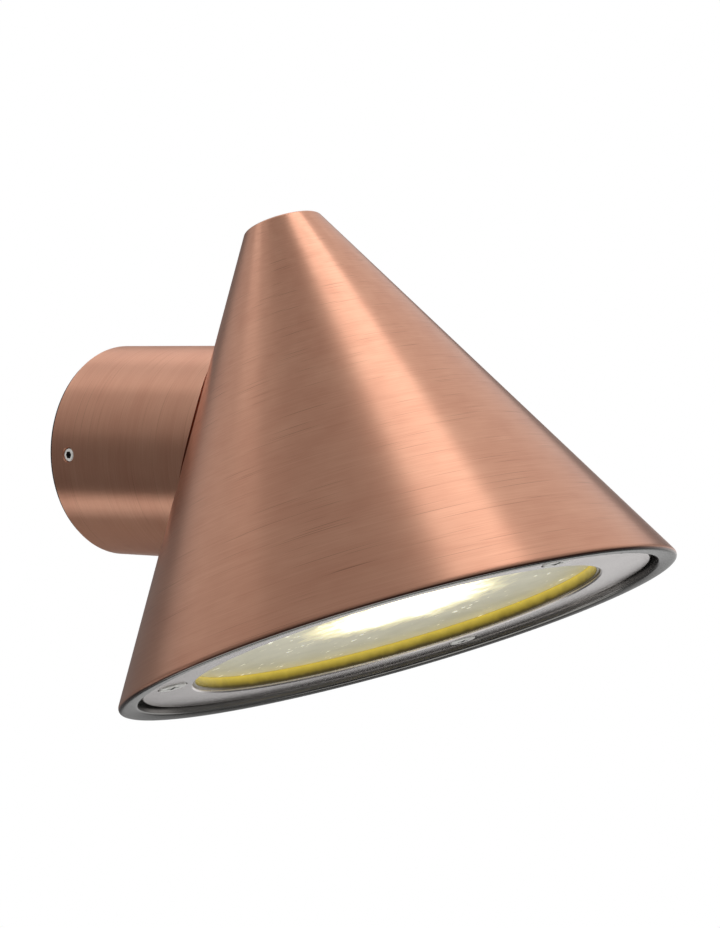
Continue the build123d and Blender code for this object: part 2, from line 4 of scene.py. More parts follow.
import bmesh
import bpy
from bpy.props import FloatProperty, FloatVectorProperty, IntProperty, PointerProperty, StringProperty
from bpy.types import Operator, Panel, PropertyGroup
from mathutils import Euler, Matrix, Vector, noise


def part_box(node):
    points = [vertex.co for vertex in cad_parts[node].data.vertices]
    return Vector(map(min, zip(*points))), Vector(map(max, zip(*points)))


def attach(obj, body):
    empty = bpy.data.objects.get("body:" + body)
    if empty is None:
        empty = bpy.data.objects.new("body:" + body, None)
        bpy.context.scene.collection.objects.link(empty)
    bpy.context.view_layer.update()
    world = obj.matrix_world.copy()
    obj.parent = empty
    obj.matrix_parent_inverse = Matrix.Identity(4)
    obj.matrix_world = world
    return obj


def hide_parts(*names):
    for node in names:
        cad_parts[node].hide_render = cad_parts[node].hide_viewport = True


bl_info = {
    "name": "Outdoor wall light",
    "version": (1, 0, 0),
    "blender": (4, 5, 0),
    "location": "3D View > Sidebar > Wall Light",
    "description": "Finishes of a cone-shaped copper wall light round its packed frame",
    "category": "Object",
}

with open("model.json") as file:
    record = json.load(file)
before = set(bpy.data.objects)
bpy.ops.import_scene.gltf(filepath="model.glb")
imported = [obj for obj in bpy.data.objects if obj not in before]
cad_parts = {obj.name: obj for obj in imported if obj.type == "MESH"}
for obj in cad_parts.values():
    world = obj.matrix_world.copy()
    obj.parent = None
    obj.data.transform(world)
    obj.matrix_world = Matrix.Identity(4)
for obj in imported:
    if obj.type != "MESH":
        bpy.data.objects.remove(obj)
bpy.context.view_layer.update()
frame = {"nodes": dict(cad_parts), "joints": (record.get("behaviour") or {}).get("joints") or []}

MM = 0.001


def joint(name):
    """The frame's joint of that name."""
    return next(j for j in frame["joints"] if j["name"] == name)


# The shade's own frame: it starts at the middle of the base and runs up the shade's axis
SHADE_BASE = Vector(joint("lamp_twist")["pos_m"])
SHADE_AXIS = Vector(joint("lamp_twist")["axis"])
SHADE_TURN = Euler((-math.atan2(SHADE_AXIS.y, SHADE_AXIS.z), 0.0, 0.0))
SHADE_FRAME = Matrix.Translation(SHADE_BASE) @ SHADE_TURN.to_matrix().to_4x4()
# The barrel's own frame: it starts on the wall and runs out from it
BARREL_TURN = Euler((math.radians(90.0), 0.0, 0.0))
BARREL_FRAME = BARREL_TURN.to_matrix().to_4x4()


class Spans:
    """Radius and height ranges of a CAD node in the shade's or the barrel's frame, in metres."""

    def __init__(self, node, place):
        inverse = place.inverted()
        points = [inverse @ v.co for v in frame["nodes"][node].data.vertices]
        radii = [math.hypot(p.x, p.y) for p in points]
        heights = [p.z for p in points]
        self.bore, self.radius = min(radii), max(radii)
        self.low, self.high = min(heights), max(heights)


SHADE = Spans("shade_cone", SHADE_FRAME)
RING = Spans("retaining_ring", SHADE_FRAME)
GLASS = Spans("lens_glass", SHADE_FRAME)
SEAL = Spans("lens_seal", SHADE_FRAME)
STRAP = Spans("holder_strap", SHADE_FRAME)
LAMP_LENS = Spans("lamp_diffuser", SHADE_FRAME)
BARREL = Spans("mounting_barrel", BARREL_FRAME)
BARREL_WASHER = Spans("barrel_spring_washer", BARREL_FRAME)
SHADE_WASHER = Spans("shade_seal_washer", BARREL_FRAME)


# Node and colour helpers

def linear(hex_colour):
    """Linear RGBA of an sRGB hex value."""
    channels = [int(hex_colour[i:i + 2], 16) / 255 for i in (1, 3, 5)]
    return [c / 12.92 if c <= 0.04045 else ((c + 0.055) / 1.055) ** 2.4 for c in channels] + [1.0]


def add(tree, kind, links=None, values=None, **settings):
    """Add a node with its settings, socket values and incoming links."""
    node = tree.nodes.new(kind)
    for name, value in settings.items():
        setattr(node, name, value)
    for socket, value in (values or {}).items():
        node.inputs[socket].default_value = value
    for socket, source in (links or {}).items():
        tree.links.new(source, node.inputs[socket])
    return node


def new_material(name):
    """Empty node material with its Principled shader, as (material, tree, shader)."""
    material = bpy.data.materials.new(name)
    material.use_nodes = True
    tree = material.node_tree
    return material, tree, tree.nodes["Principled BSDF"]


def set_shader(shader, **values):
    """Set plain values on the shader's own sockets."""
    for name, value in values.items():
        shader.inputs[name.replace("_", " ").title().replace("Ior", "IOR")].default_value = value


def ramp(tree, source, stops):
    """Colour ramp whose stops are (position, RGBA)."""
    node = add(tree, "ShaderNodeValToRGB", {"Fac": source})
    elements = node.color_ramp.elements
    while len(elements) < len(stops):
        elements.new(0.5)
    for element, (position, colour) in zip(elements, stops):
        element.position = position
        element.color = colour
    return node.outputs["Color"]


def ranged(tree, value, low, high, low_result=0.0, high_result=1.0, kind="LINEAR"):
    """Value carried from one range to another and held at its ends."""
    return add(
        tree, "ShaderNodeMapRange", {"Value": value},
        {"From Min": low, "From Max": high, "To Min": low_result, "To Max": high_result},
        interpolation_type=kind,
    ).outputs["Result"]


def noise_field(tree, where, size, detail):
    """Noise whose lumps are about that size, in metres."""
    return add(tree, "ShaderNodeTexNoise", {"Vector": where},
               {"Scale": 1 / size, "Detail": detail}).outputs["Fac"]


def dimmed(colour, left):
    """RGBA with only a share of its colour left."""
    return [channel * left for channel in colour[:3]] + [1.0]


def patchy(tree, where, size, detail, dark, light, edge):
    """Colour that wanders between two RGBA values in patches of that size."""
    return ramp(tree, noise_field(tree, where, size, detail), [(edge, dark), (1 - edge, light)])


def mixed_in(tree, amount, colour, hex_colour):
    """Colour mixed towards an sRGB hex value."""
    return add(tree, "ShaderNodeMix", {"Factor": amount, 6: colour}, {7: linear(hex_colour)},
               data_type="RGBA").outputs[2]


def bumped(tree, shader, height, strength, distance):
    """Let a height bend the shader's normal."""
    bump = add(tree, "ShaderNodeBump", {"Height": height}, {"Strength": strength, "Distance": distance})
    tree.links.new(bump.outputs["Normal"], shader.inputs["Normal"])


def part_of(tree, vector, part):
    """X, Y or Z of a vector."""
    return add(tree, "ShaderNodeSeparateXYZ", {"Vector": vector}).outputs[part]


def math_node(tree, operation, *inputs):
    """Output of a Math node whose inputs are sockets or plain numbers."""
    node = tree.nodes.new("ShaderNodeMath")
    node.operation = operation
    for socket, value in zip(node.inputs, inputs):
        if isinstance(value, (int, float)):
            socket.default_value = value
        else:
            tree.links.new(value, socket)
    return node.outputs["Value"]


def vector_math(tree, operation, source, value=None, result="Vector"):
    """Output of a Vector Math node on a socket and, where it takes one, a plain vector."""
    values = {} if value is None else {1: value}
    return add(tree, "ShaderNodeVectorMath", {0: source}, values, operation=operation).outputs[result]


def product(tree, first, *others):
    """Product of sockets or plain numbers."""
    for other in others:
        first = math_node(tree, "MULTIPLY", first, other)
    return first


def object_point(tree):
    """Shaded point in the object's own coordinates."""
    return add(tree, "ShaderNodeTexCoord").outputs["Object"]


def own_coordinates(tree, place, turn):
    """Object coordinates measured in the shade's or the barrel's own frame."""
    return add(
        tree, "ShaderNodeMapping", {"Vector": object_point(tree)},
        {"Location": place, "Rotation": turn}, vector_type="TEXTURE",
    ).outputs["Vector"]


def off_axis(tree, own, centre=(0.0, 0.0)):
    """Distance of a point from the Z axis through a centre."""
    moved = vector_math(tree, "SUBTRACT", own, (*centre, 0.0))
    flat = vector_math(tree, "MULTIPLY", moved, (1.0, 1.0, 0.0))
    return vector_math(tree, "LENGTH", flat, result="Value")


def drawn_out_noise(tree, own, radius, length, width, detail, seed):
    """Noise drawn out round the Z axis: length round it and width along it, in metres."""
    flat = vector_math(tree, "MULTIPLY", own, (1.0, 1.0, 0.0))
    around = vector_math(tree, "MULTIPLY", vector_math(tree, "NORMALIZE", flat), [radius / length] * 3)
    point = add(tree, "ShaderNodeVectorMath", {0: own, 2: around}, {1: (0.0, 0.0, 1 / width)},
                operation="MULTIPLY_ADD").outputs["Vector"]
    return add(
        tree, "ShaderNodeTexNoise", {"Vector": point}, {"W": seed, "Scale": 1.0, "Detail": detail},
        noise_dimensions="4D",
    ).outputs["Fac"]


def brushed_round(tree, shader, place, turn, anisotropy):
    """Draw the gloss out along the axis, as brushing or turning round the axis does."""
    axis = Euler(turn).to_matrix().col[2]
    from_base = vector_math(tree, "SUBTRACT", object_point(tree), place)
    around = vector_math(tree, "CROSS_PRODUCT", from_base, axis)
    world = add(tree, "ShaderNodeVectorTransform", {"Vector": around},
                vector_type="VECTOR", convert_from="OBJECT", convert_to="WORLD")
    tangent = vector_math(tree, "NORMALIZE", world.outputs["Vector"])
    tree.links.new(tangent, shader.inputs["Tangent"])
    set_shader(shader, anisotropic=anisotropy, anisotropic_rotation=0.25)


# Materials, each from what the real one is

# Seeds of the copper's layers of noise
FINE_SEED, COARSE_SEED, CLOUD_SEED, SCRATCH_SEED = 1.7, 5.1, 9.3, 3.9
# The coarse brush lines are calmer than the fine ones
COARSE_SHARE, COARSE_LEVEL = 0.4, 0.3
# Noise levels between which the plate turns from toned to bright, from dull to glossy, and from
# whole to scratched
TONED_LEVELS = (1.1, 1.9)
GLOSS_LEVELS = (0.7, 1.3)
SCRATCH_LEVELS = (0.72, 0.80)
GLOSS_SPREAD = 0.04
# Share of painted shade in the dark hair line where the plate ends
PAINTED_EDGE_SHADE_SHARE = 0.95


def brushed_copper(name, place, turn, radius, settings, edge_height=None):
    """Copper plate on cast aluminium, brushed round the axis and lacquered.

    The brush leaves fine lines round the axis, so a lamp's reflection is drawn out along the
    axis. Between the lines the plate is a little browner where it was toned, a few deeper lines
    are dark, and a dark brown hair line of painted shade stands for the dark reflection of the
    rim's rounding where the plate ends.
    """
    material, tree, shader = new_material(name)
    own = own_coordinates(tree, place, turn)
    length, width, patch = settings.streak_length, settings.streak_width, settings.cloud_size
    fine = drawn_out_noise(tree, own, radius, length, width, 2.0, FINE_SEED)
    coarse = drawn_out_noise(tree, own, radius, length * 2.0, width * 3, 2.0, COARSE_SEED)
    coarse = math_node(tree, "MULTIPLY_ADD", coarse, COARSE_SHARE, COARSE_LEVEL)
    cloud = drawn_out_noise(tree, own, radius, patch * 2, patch, 2.0, CLOUD_SEED)
    scratch = drawn_out_noise(tree, own, radius, length * 1.8, width * 1.5, 0.0, SCRATCH_SEED)

    streaks = math_node(tree, "ADD", fine, coarse)
    level = ranged(tree, math_node(tree, "ADD", streaks, cloud), *TONED_LEVELS)
    copper = ramp(tree, level, [(0.0, linear(settings.toned)), (1.0, linear(settings.copper))])
    scratched = ranged(tree, scratch, *SCRATCH_LEVELS, 0.0, settings.scratch_share)
    copper = mixed_in(tree, scratched, copper, settings.scratch)
    # Painted shade: a dark hair line where the plate ends stands for the dark reflection of the rim's
    # rounding
    if edge_height is not None:
        painted_edge_shade = ranged(tree, part_of(tree, own, "Z"), edge_height + settings.edge_line * 0.5,
                       edge_height + settings.edge_line, PAINTED_EDGE_SHADE_SHARE, 0.0)
        copper = mixed_in(tree, painted_edge_shade, copper, settings.edge)
    tree.links.new(copper, shader.inputs["Base Color"])

    roughness = ranged(tree, streaks, *GLOSS_LEVELS, settings.roughness + GLOSS_SPREAD,
                       settings.roughness - GLOSS_SPREAD)
    tree.links.new(roughness, shader.inputs["Roughness"])
    bumped(tree, shader, streaks, settings.streak_strength, width * 0.2)
    brushed_round(tree, shader, place, turn, settings.anisotropy)
    set_shader(shader, metallic=1.0, coat_weight=0.15, coat_roughness=0.25)
    return material


# How a surface is worn: detail of its grain, size of its patches, their share of the colour, where
# they start in the noise, and how far the roughness strays
SATIN = (3.0, 12 * MM, 0.9, 0.3, 0.04)
MOULDED = (4.0, 8 * MM, 0.88, 0.35, 0.06)


def grained(name, hex_colour, roughness, grain, strength, wear):
    """Material whose tone wanders in patches, and whose gloss and relief follow a fine grain."""
    detail, patch, left, edge, spread = wear
    material, tree, shader = new_material(name)
    where = object_point(tree)
    grains = noise_field(tree, where, grain, detail)
    base = linear(hex_colour)
    tone = patchy(tree, where, patch, 2.0, dimmed(base, left), base, edge)
    tree.links.new(tone, shader.inputs["Base Color"])
    gloss = ranged(tree, grains, 0.3, 0.7, roughness - spread, roughness + spread)
    tree.links.new(gloss, shader.inputs["Roughness"])
    bumped(tree, shader, grains, strength, grain * 0.1)
    return material, shader


def satin_metal(name, hex_colour, roughness, grain=0.4 * MM, glancing=1.0):
    """Blasted or tumbled metal: an even satin with a fine grain; glancing dulls its edge-on gloss."""
    material, shader = grained(name, hex_colour, roughness, grain, 0.12, SATIN)
    set_shader(shader, metallic=1.0, specular_tint=(glancing, glancing, glancing, 1.0))
    return material


def moulded(name, hex_colour, roughness, grain=0.5 * MM, strength=0.2, coat=0.0):
    """Moulded plastic, rubber or glazed ceramic with its fine surface grain."""
    material, shader = grained(name, hex_colour, roughness, grain, strength, MOULDED)
    set_shader(shader, ior=1.5, coat_weight=coat)
    return material


def zinc_plate(name):
    """Bright zinc plate: part gloss, part milky, so it stays light where it mirrors the dark."""
    material, tree, shader = new_material(name)
    milky = patchy(tree, object_point(tree), 0.8 * MM, 3.0, linear("#DAD8D2"), linear("#F6F5F1"), 0.3)
    tree.links.new(milky, shader.inputs["Base Color"])
    set_shader(shader, metallic=0.5, roughness=0.35)
    return material


# Lumps in the glass, from its pressed grain to its cloudiness
GRAIN_SIZE = 0.9 * MM
SPECK_SIZE = 1.2 * MM
BUBBLE_SIZE = 1.5 * MM
WAVE_SIZE = 7 * MM
CLOUD_SIZE = 9 * MM
SWARM_SIZE = 10 * MM
# How far the waves and the bubbles move the painted glow's edge, and how far they do so on average
WAVE_REACH = 16 * MM
BUBBLE_REACH = 14 * MM
MEAN_REACH = (WAVE_REACH + BUBBLE_REACH) / 2
# Where the painted glow is full and where it ends, as shares of its radius
GLOW_FULL, GLOW_END = 0.2, 1.5
# Painted glints: specks of light come in swarms, and show between these levels
SWARM_SHARE = 0.45
PAINTED_GLINT_LEVELS = (0.95, 1.06)


def textured_lens(settings):
    """Pressed soda-lime glass with a bubbly face: cloudy and faintly green, with painted light.

    The lamp sits close above it, so its light scattered in the texture is painted on as emission: a
    white painted glow with a ragged, pale yellow edge, and painted glints on single bubbles further out.
    """
    material, tree, shader = new_material("pressed_bubble_glass")
    own = own_coordinates(tree, SHADE_BASE, SHADE_TURN)
    # The sheet was rolled before it was pressed, so its texture is drawn out one way
    rolled = add(
        tree, "ShaderNodeMapping", {"Vector": own},
        {"Rotation": (0.0, 0.0, settings.rolled_way), "Scale": (1.0, settings.rolled_share, 1.0)},
        vector_type="POINT",
    ).outputs["Vector"]
    bumped(tree, shader, noise_field(tree, rolled, GRAIN_SIZE, 3.0), 0.6, 0.15 * MM)

    # Painted glow: emission round a centre off the axis stands in for the lamp's light scattered in the
    # glass
    ragged = off_axis(tree, own, settings.glow_centre)
    waves = noise_field(tree, own, WAVE_SIZE, 1.0)
    ragged = math_node(tree, "MULTIPLY_ADD", waves, -WAVE_REACH, ragged)
    bubbles = noise_field(tree, rolled, BUBBLE_SIZE, 3.0)
    ragged = math_node(tree, "MULTIPLY_ADD", bubbles, -BUBBLE_REACH, ragged)
    glow = ranged(tree, ragged, settings.glow_radius * GLOW_FULL - MEAN_REACH,
                  settings.glow_radius * GLOW_END - MEAN_REACH, 1.0, 0.0)
    hue = ramp(tree, glow, [
        (0.0, linear(settings.glow_far)), (0.3, linear(settings.glow_fringe)),
        (0.5, linear("#EFE9D2")), (0.75, linear("#FFFFFF")),
    ])
    # Painted glints: single bubbles further out show specks of painted light
    specks = noise_field(tree, rolled, SPECK_SIZE, 1.0)
    swarms = noise_field(tree, own, SWARM_SIZE, 1.0)
    painted_glints = math_node(tree, "MULTIPLY_ADD", swarms, SWARM_SHARE, specks)
    hue = mixed_in(tree, ranged(tree, painted_glints, *PAINTED_GLINT_LEVELS), hue, "#FFFBE8")
    tree.links.new(hue, shader.inputs["Emission Color"])

    tint = linear(settings.tint)
    cloudy = patchy(tree, own, CLOUD_SIZE, 4.0, dimmed(tint, 0.86), tint, 0.35)
    tree.links.new(cloudy, shader.inputs["Base Color"])
    set_shader(shader, roughness=0.3, ior=1.5, transmission_weight=settings.clearness,
               emission_strength=settings.glow)
    return material


def yellow_silicone_painted_light(settings):
    """Yellow silicone rubber, glossy, with painted light: bright by the glass and painted shade by the
    ring, and it gives off a faint painted glow.
    """
    material, tree, shader = new_material("yellow_silicone_painted_light")
    own = own_coordinates(tree, SHADE_BASE, SHADE_TURN)
    # Painted light and shade: the tone runs from dark by the ring up to bright by the glass, and the
    # same tone is emitted as a faint painted glow
    level = ranged(tree, part_of(tree, own, "Z"), SEAL.low, GLASS.low)
    moved = math_node(tree, "MULTIPLY_ADD", noise_field(tree, own, 3 * MM, 3.0), 0.25, level)
    tone = ramp(tree, moved, [
        (0.25, linear(settings.deep)), (0.6, linear(settings.middle)), (1.0, linear(settings.lit)),
    ])
    tree.links.new(tone, shader.inputs["Base Color"])
    tree.links.new(tone, shader.inputs["Emission Color"])
    set_shader(shader, roughness=0.22, ior=1.41, emission_strength=settings.painted_seal_glow)
    return material


def lit_diffuser(settings):
    """Frosted polycarbonate lit from behind by its diodes."""
    material, tree, shader = new_material("lit_diffuser")
    own = own_coordinates(tree, SHADE_BASE, SHADE_TURN)
    level = ranged(tree, off_axis(tree, own), 0.0, LAMP_LENS.radius)
    hue = ramp(tree, level, [
        (0.0, linear("#FFF6E0")), (0.8, linear("#FFEFC8")), (1.0, linear("#E8C98A")),
    ])
    tree.links.new(hue, shader.inputs["Emission Color"])
    set_shader(shader, base_color=linear("#F4F1E6"), roughness=0.5,
               emission_strength=settings.lamp_strength)
    return material


# Mesh helpers

SHARP_ANGLE = math.radians(30)
# Points this close count as one place
NEAR = 0.02 * MM


def finish_nodes(names, material):
    """Give CAD nodes a material in their own slots."""
    for name in names:
        node = frame["nodes"][name]
        node.data.materials.clear()
        node.data.materials.append(material)


def placed(name, data):
    """New object in the scene's collection."""
    item = bpy.data.objects.new(name, data)
    bpy.context.scene.collection.objects.link(item)
    return item


def make_piece(name, bm, materials, body, place, replaced):
    """Turn a bmesh into a finished piece at the origin that rides on its body."""
    moved_by(bm, place)
    mesh = bpy.data.meshes.new(name)
    bm.to_mesh(mesh)
    bm.free()
    for material in materials:
        mesh.materials.append(material)
    piece = placed(name, mesh)
    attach(piece, body)
    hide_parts(replaced)


def spun(profile, steps, closed=True):
    """Revolve a profile of (radius, height) points about Z; a closed profile makes a ring."""
    bm = bmesh.new()
    verts = [bm.verts.new((r, 0.0, z)) for r, z in profile]
    pairs = list(zip(verts, verts[1:]))
    if closed:
        pairs.append((verts[-1], verts[0]))
    edges = [bm.edges.new(pair) for pair in pairs]
    bmesh.ops.spin(
        bm, geom=verts + edges, cent=(0, 0, 0), axis=(0, 0, 1), angle=2 * math.pi,
        steps=steps, use_merge=True,
    )
    bmesh.ops.remove_doubles(bm, verts=bm.verts, dist=1e-7)
    bmesh.ops.recalc_face_normals(bm, faces=bm.faces)
    return bm


def round_ring(bm, radius, height, size, segments):
    """Round the circular edge at a radius and height, as a fillet of that size."""
    ring = [
        e for e in bm.edges
        if all(abs(math.hypot(v.co.x, v.co.y) - radius) < NEAR and abs(v.co.z - height) < NEAR
               for v in e.verts)
    ]
    offset = size * math.tan(ring[0].calc_face_angle() / 2)
    bmesh.ops.bevel(
        bm, geom=ring, offset=offset, offset_type="OFFSET", segments=segments, profile=0.5,
        affect="EDGES", material=-1, clamp_overlap=True,
    )


def rod(radius, low, high, x=0.0, y=0.0, steps=48, top_radius=None):
    """Round bar between two heights, or a taper where a top radius is given."""
    bm = bmesh.new()
    bmesh.ops.create_cone(
        bm, cap_ends=True, segments=steps, radius1=radius,
        radius2=radius if top_radius is None else top_radius, depth=high - low,
        matrix=Matrix.Translation((x, y, (low + high) / 2)),
    )
    return bm


def joined(*parts):
    """One bmesh that holds several, each left whole."""
    bm = bmesh.new()
    for part in parts:
        mesh = bpy.data.meshes.new("part")
        part.to_mesh(mesh)
        part.free()
        bm.from_mesh(mesh)
        bpy.data.meshes.remove(mesh)
    return bm


def combined(bm, other, operation):
    """Union, difference or intersection of two closed bmeshes, with the exact solver."""
    objects = []
    for source in (bm, other):
        mesh = bpy.data.meshes.new("operand")
        source.to_mesh(mesh)
        source.free()
        objects.append(placed("operand", mesh))
    modifier = objects[0].modifiers.new("combine", "BOOLEAN")
    modifier.operation = operation
    modifier.object = objects[1]
    modifier.solver = "EXACT"
    result = bmesh.new()
    result.from_object(objects[0], bpy.context.evaluated_depsgraph_get())
    for item in objects:
        mesh = item.data
        bpy.data.objects.remove(item)
        bpy.data.meshes.remove(mesh)
    return result


def smooth(bm):
    """Shade smooth, with sharp edges over the sharp angle."""
    for face in bm.faces:
        face.smooth = True
    for edge in bm.edges:
        edge.smooth = len(edge.link_faces) == 2 and edge.calc_face_angle(0.0) < SHARP_ANGLE


def turned_about(bm, turn):
    """The same bmesh, turned by an angle about Z."""
    bmesh.ops.rotate(bm, verts=bm.verts, cent=(0, 0, 0), matrix=Matrix.Rotation(turn, 3, "Z"))
    return bm


def moved_by(bm, matrix):
    """The same bmesh, moved by a matrix."""
    bmesh.ops.transform(bm, matrix=matrix, verts=bm.verts)
    return bm


def block(size, middle, taper=(1.0, 1.0)):
    """Box of a size about a middle; taper scales its upper end across."""
    bm = bmesh.new()
    bmesh.ops.create_cube(bm, size=1.0)
    bmesh.ops.scale(bm, verts=bm.verts, vec=size)
    for v in bm.verts:
        if v.co.z > 0:
            v.co.x *= taper[0]
            v.co.y *= taper[1]
    bmesh.ops.translate(bm, verts=bm.verts, vec=middle)
    return bm


# Settings

def millimetres(name, description, value):
    """Length setting."""
    return FloatProperty(name=name, description=description, default=value * MM, unit="LENGTH",
                         precision=5)


def degrees(name, description, value):
    """Angle setting."""
    return FloatProperty(name=name, description=description, default=math.radians(value),
                         subtype="ANGLE")


def fraction(name, description, value):
    """Setting that is a share of one."""
    return FloatProperty(name=name, description=description, default=value, subtype="FACTOR")


def positive(name, description, value):
    """Plain setting from nothing upwards."""
    return FloatProperty(name=name, description=description, default=value, min=0.0)


def whole(name, description, value):
    """Count setting."""
    return IntProperty(name=name, description=description, default=value)


def hex_value(name, description, value):
    """Colour setting, as an sRGB hex value."""
    return StringProperty(name=name, description=description, default=value)


class ShadeSettings(PropertyGroup):
    base_radius: millimetres("Base radius", "Outer cone at the base plane", 82.8)
    top_radius: millimetres("Top radius", "Outer cone at the top plane", 11.3)
    wall: millimetres("Wall", "Thickness of the cone", 3.0)
    crown: millimetres("Crown", "Thickness of the closed top", 4.0)
    rim_bore: millimetres("Rim bore", "Radius inside the rim", 76.4)
    rim_dish: millimetres("Rim dish", "Rim face higher at its bore than outside", 0.5)
    rim_round: millimetres("Rim rounding", "Rounding of the rim's outer edge", 1.2)
    rim_inner_round: millimetres("Rim bore rounding", "Rounding of the rim's bore", 0.7)
    top_round: millimetres("Top rounding", "Rounding of the top's edge", 1.4)
    pocket_gap: millimetres("Pocket gap", "Room round the seal", 0.2)
    shelf: millimetres("Shelf", "Thickness of the shelf over the glass", 2.4)
    shelf_reach: millimetres("Shelf reach", "Shelf inside the ring's bore", 2.0)
    plate_end: millimetres("Plate end", "Height on the rounding where the plate ends", 0.4)
    boss_radius: millimetres("Boss", "Radius of a ring screw's boss", 4.5)
    boss_top: millimetres("Boss top", "Height of a ring screw's boss", 17.3)
    screw_hole: millimetres("Screw hole", "Radius of a ring screw's hole", 2.05)
    hole_top: millimetres("Hole depth", "Height where a ring screw's hole ends", 15.3)
    post_radius: millimetres("Post", "Radius of a strap's post", 4.0)
    pad_radius: millimetres("Pad", "Radius of the flat pad for the stem", 13.0)
    stem_hole: millimetres("Stem hole", "Radius of the stem's hole", 5.1)
    steps: whole("Steps", "Steps round the turned forms", 480)


class BarrelSettings(PropertyGroup):
    wall: millimetres("Wall", "Thickness of the tube", 4.0)
    relief: millimetres("Edge relief", "Relieved outer edge along the saddle", 0.7)
    screw_from_wall: millimetres("Set screws", "Set screws from the wall", 8.15)
    screw_hole: millimetres("Set screw hole", "Radius of a set screw's hole", 2.05)
    bevel: millimetres("Hole bevel", "Bevel round a set screw's hole", 0.35)
    bevel_depth: millimetres("Bevel depth", "Depth of that bevel", 0.7)
    terminal_hole: millimetres("Terminal hole", "Radius of the block's screw hole", 1.5)
    terminal_place: millimetres("Terminal place", "That hole above the axis", 16.0)
    earth_hole: millimetres("Earth hole", "Radius of the earth screw's hole", 2.0)
    earth_place: millimetres("Earth place", "That hole below the axis", 17.0)
    hole_depth: millimetres("Blind holes", "Depth of these two holes", 5.0)


class CopperSettings(PropertyGroup):
    copper: hex_value("Copper", "Brushed plate in the light", "#E9B093")
    toned: hex_value("Toned copper", "Browner plate between the brush lines", "#D89B80")
    scratch: hex_value("Scratch", "Deeper brush line", "#8A5642")
    scratch_share: fraction("Scratch depth", "How dark a deeper line is", 0.4)
    # The edge colour is painted shade: a dark hair line for the dark reflection where the plate ends
    edge: hex_value("Burnt edge", "Hair line where the plate ends", "#4A3028")
    edge_line: millimetres("Edge line", "Width of that line", 0.6)
    bare: hex_value("Bare rim", "Satin casting where the plate ends", "#9E9C99")
    streak_length: millimetres("Streak length", "Brush line round the axis", 16)
    # Real brush lines are about 0.05 mm wide; these are as coarse as they need to show
    streak_width: millimetres("Streak width", "Brush line along the axis", 0.14)
    streak_strength: fraction("Streak depth", "Relief of the brush lines", 0.12)
    cloud_size: millimetres("Toning patch", "Size of the browner patches", 9)
    roughness: fraction("Roughness", "Mean roughness of the plate", 0.34)
    anisotropy: fraction("Anisotropy", "How far the brushing draws light out", 0.85)


class RingSettings(PropertyGroup):
    metal: hex_value("Ring", "Satin aluminium ring", "#E6DFDD")
    roughness: fraction("Roughness", "Roughness of the ring", 0.24)
    chamfer: millimetres("Chamfer", "Chamfer of the ring's edges", 0.4)
    screw_inset: millimetres("Screw circle", "Screw centres in from the ring's edge", 8.2)
    first_screw: degrees("First screw", "Angle of the first screw", 24.5)
    screw_count: whole("Screws", "Screws round the ring", 3)
    head_radius: millimetres("Head", "Radius of a screw's head", 3.9)
    head_height: millimetres("Head height", "Height of a screw's head", 1.6)
    shank_radius: millimetres("Shank", "Radius of a screw's shank", 2.0)
    shank_length: millimetres("Shank length", "Length of a screw's shank", 10.0)
    seat: millimetres("Seat depth", "Depth of a screw's counterbore", 1.2)
    seat_gap: millimetres("Seat gap", "Room round a screw's head", 0.45)
    socket: millimetres("Socket", "Half the width of a set screw's hexagon", 1.0)
    thread_pitch: millimetres("Thread pitch", "Pitch of the screws' threads", 0.7)


class LensSettings(PropertyGroup):
    tint: hex_value("Glass tint", "Cloudy pressed glass", "#D3D0BE")
    clearness: fraction("Clearness", "Share of light that passes clear through", 0.3)
    # The glow settings paint the lamp's scattered light on the glass as emission: a painted glow with a
    # painted fringe and faint painted light beyond
    glow: positive("Glow", "Light scattered in the glass over the lamp", 1.3)
    glow_radius: millimetres("Glow radius", "Reach of the glow", 21.5)
    glow_centre: FloatVectorProperty(name="Glow centre", description="Middle of the glow off the axis",
                                     size=2, default=(-4 * MM, -9 * MM), unit="LENGTH")
    glow_fringe: hex_value("Glow fringe", "Ragged edge of the glow", "#A79F78")
    rolled_way: degrees("Rolled way", "Turn of the sheet's rolling direction", -41.0)
    rolled_share: fraction("Rolled share", "How far rolling drew the texture out", 0.35)
    glow_far: hex_value("Glow beyond", "Faint light beyond the fringe", "#4E4C40")
    lamp_strength: positive("Lamp", "Light from the lamp's front", 6.0)
    # The seal's tones run from painted shade by the ring to painted light by the glass; the edge light
    # is a painted glow
    deep: hex_value("Silicone, deep", "By the ring", "#4A4020")
    middle: hex_value("Silicone, middle", "Half way", "#A08C34")
    lit: hex_value("Silicone, lit", "By the glass", "#D8C050")
    painted_seal_glow: positive("Edge light", "Light that the glass leaks into the seal", 0.25)
    ripple: millimetres("Ripple", "Depth of the pressed texture", 0.18)
    bevel: millimetres("Arris", "Bevel of the glass edge", 0.3)
    rings: whole("Rings", "Steps from the middle to the edge", 120)
    steps: whole("Steps", "Steps round the glass", 320)
    lip: millimetres("Seal lip", "Thickness of the seal's turned-down lip", 0.9)
    joint_angle: degrees("Seal joint", "Where the seal's ends meet", 32.0)


class StageSettings(PropertyGroup):
    azimuth: degrees("Azimuth", "Camera's way round the light", -48.724)
    elevation: degrees("Elevation", "Camera above the horizon", 2.795)
    roll: degrees("Roll", "Camera's roll", -0.727)
    distance: millimetres("Distance", "Camera to its target", 899.1)
    target: FloatVectorProperty(name="Target", description="Point in the middle of the picture",
                                default=(-0.00217, -0.0973, -0.00198), subtype="TRANSLATION")
    lens: positive("Lens", "Focal length on a 36 mm long side", 122.46)
    background: hex_value("Background", "What the camera sees behind", "#FFFFFF")
    floor_drop: millimetres("Floor drop", "Floor below the light", 2000.0)
    floor_size: millimetres("Floor size", "Side of the floor", 2400.0)


# Turned and cut forms

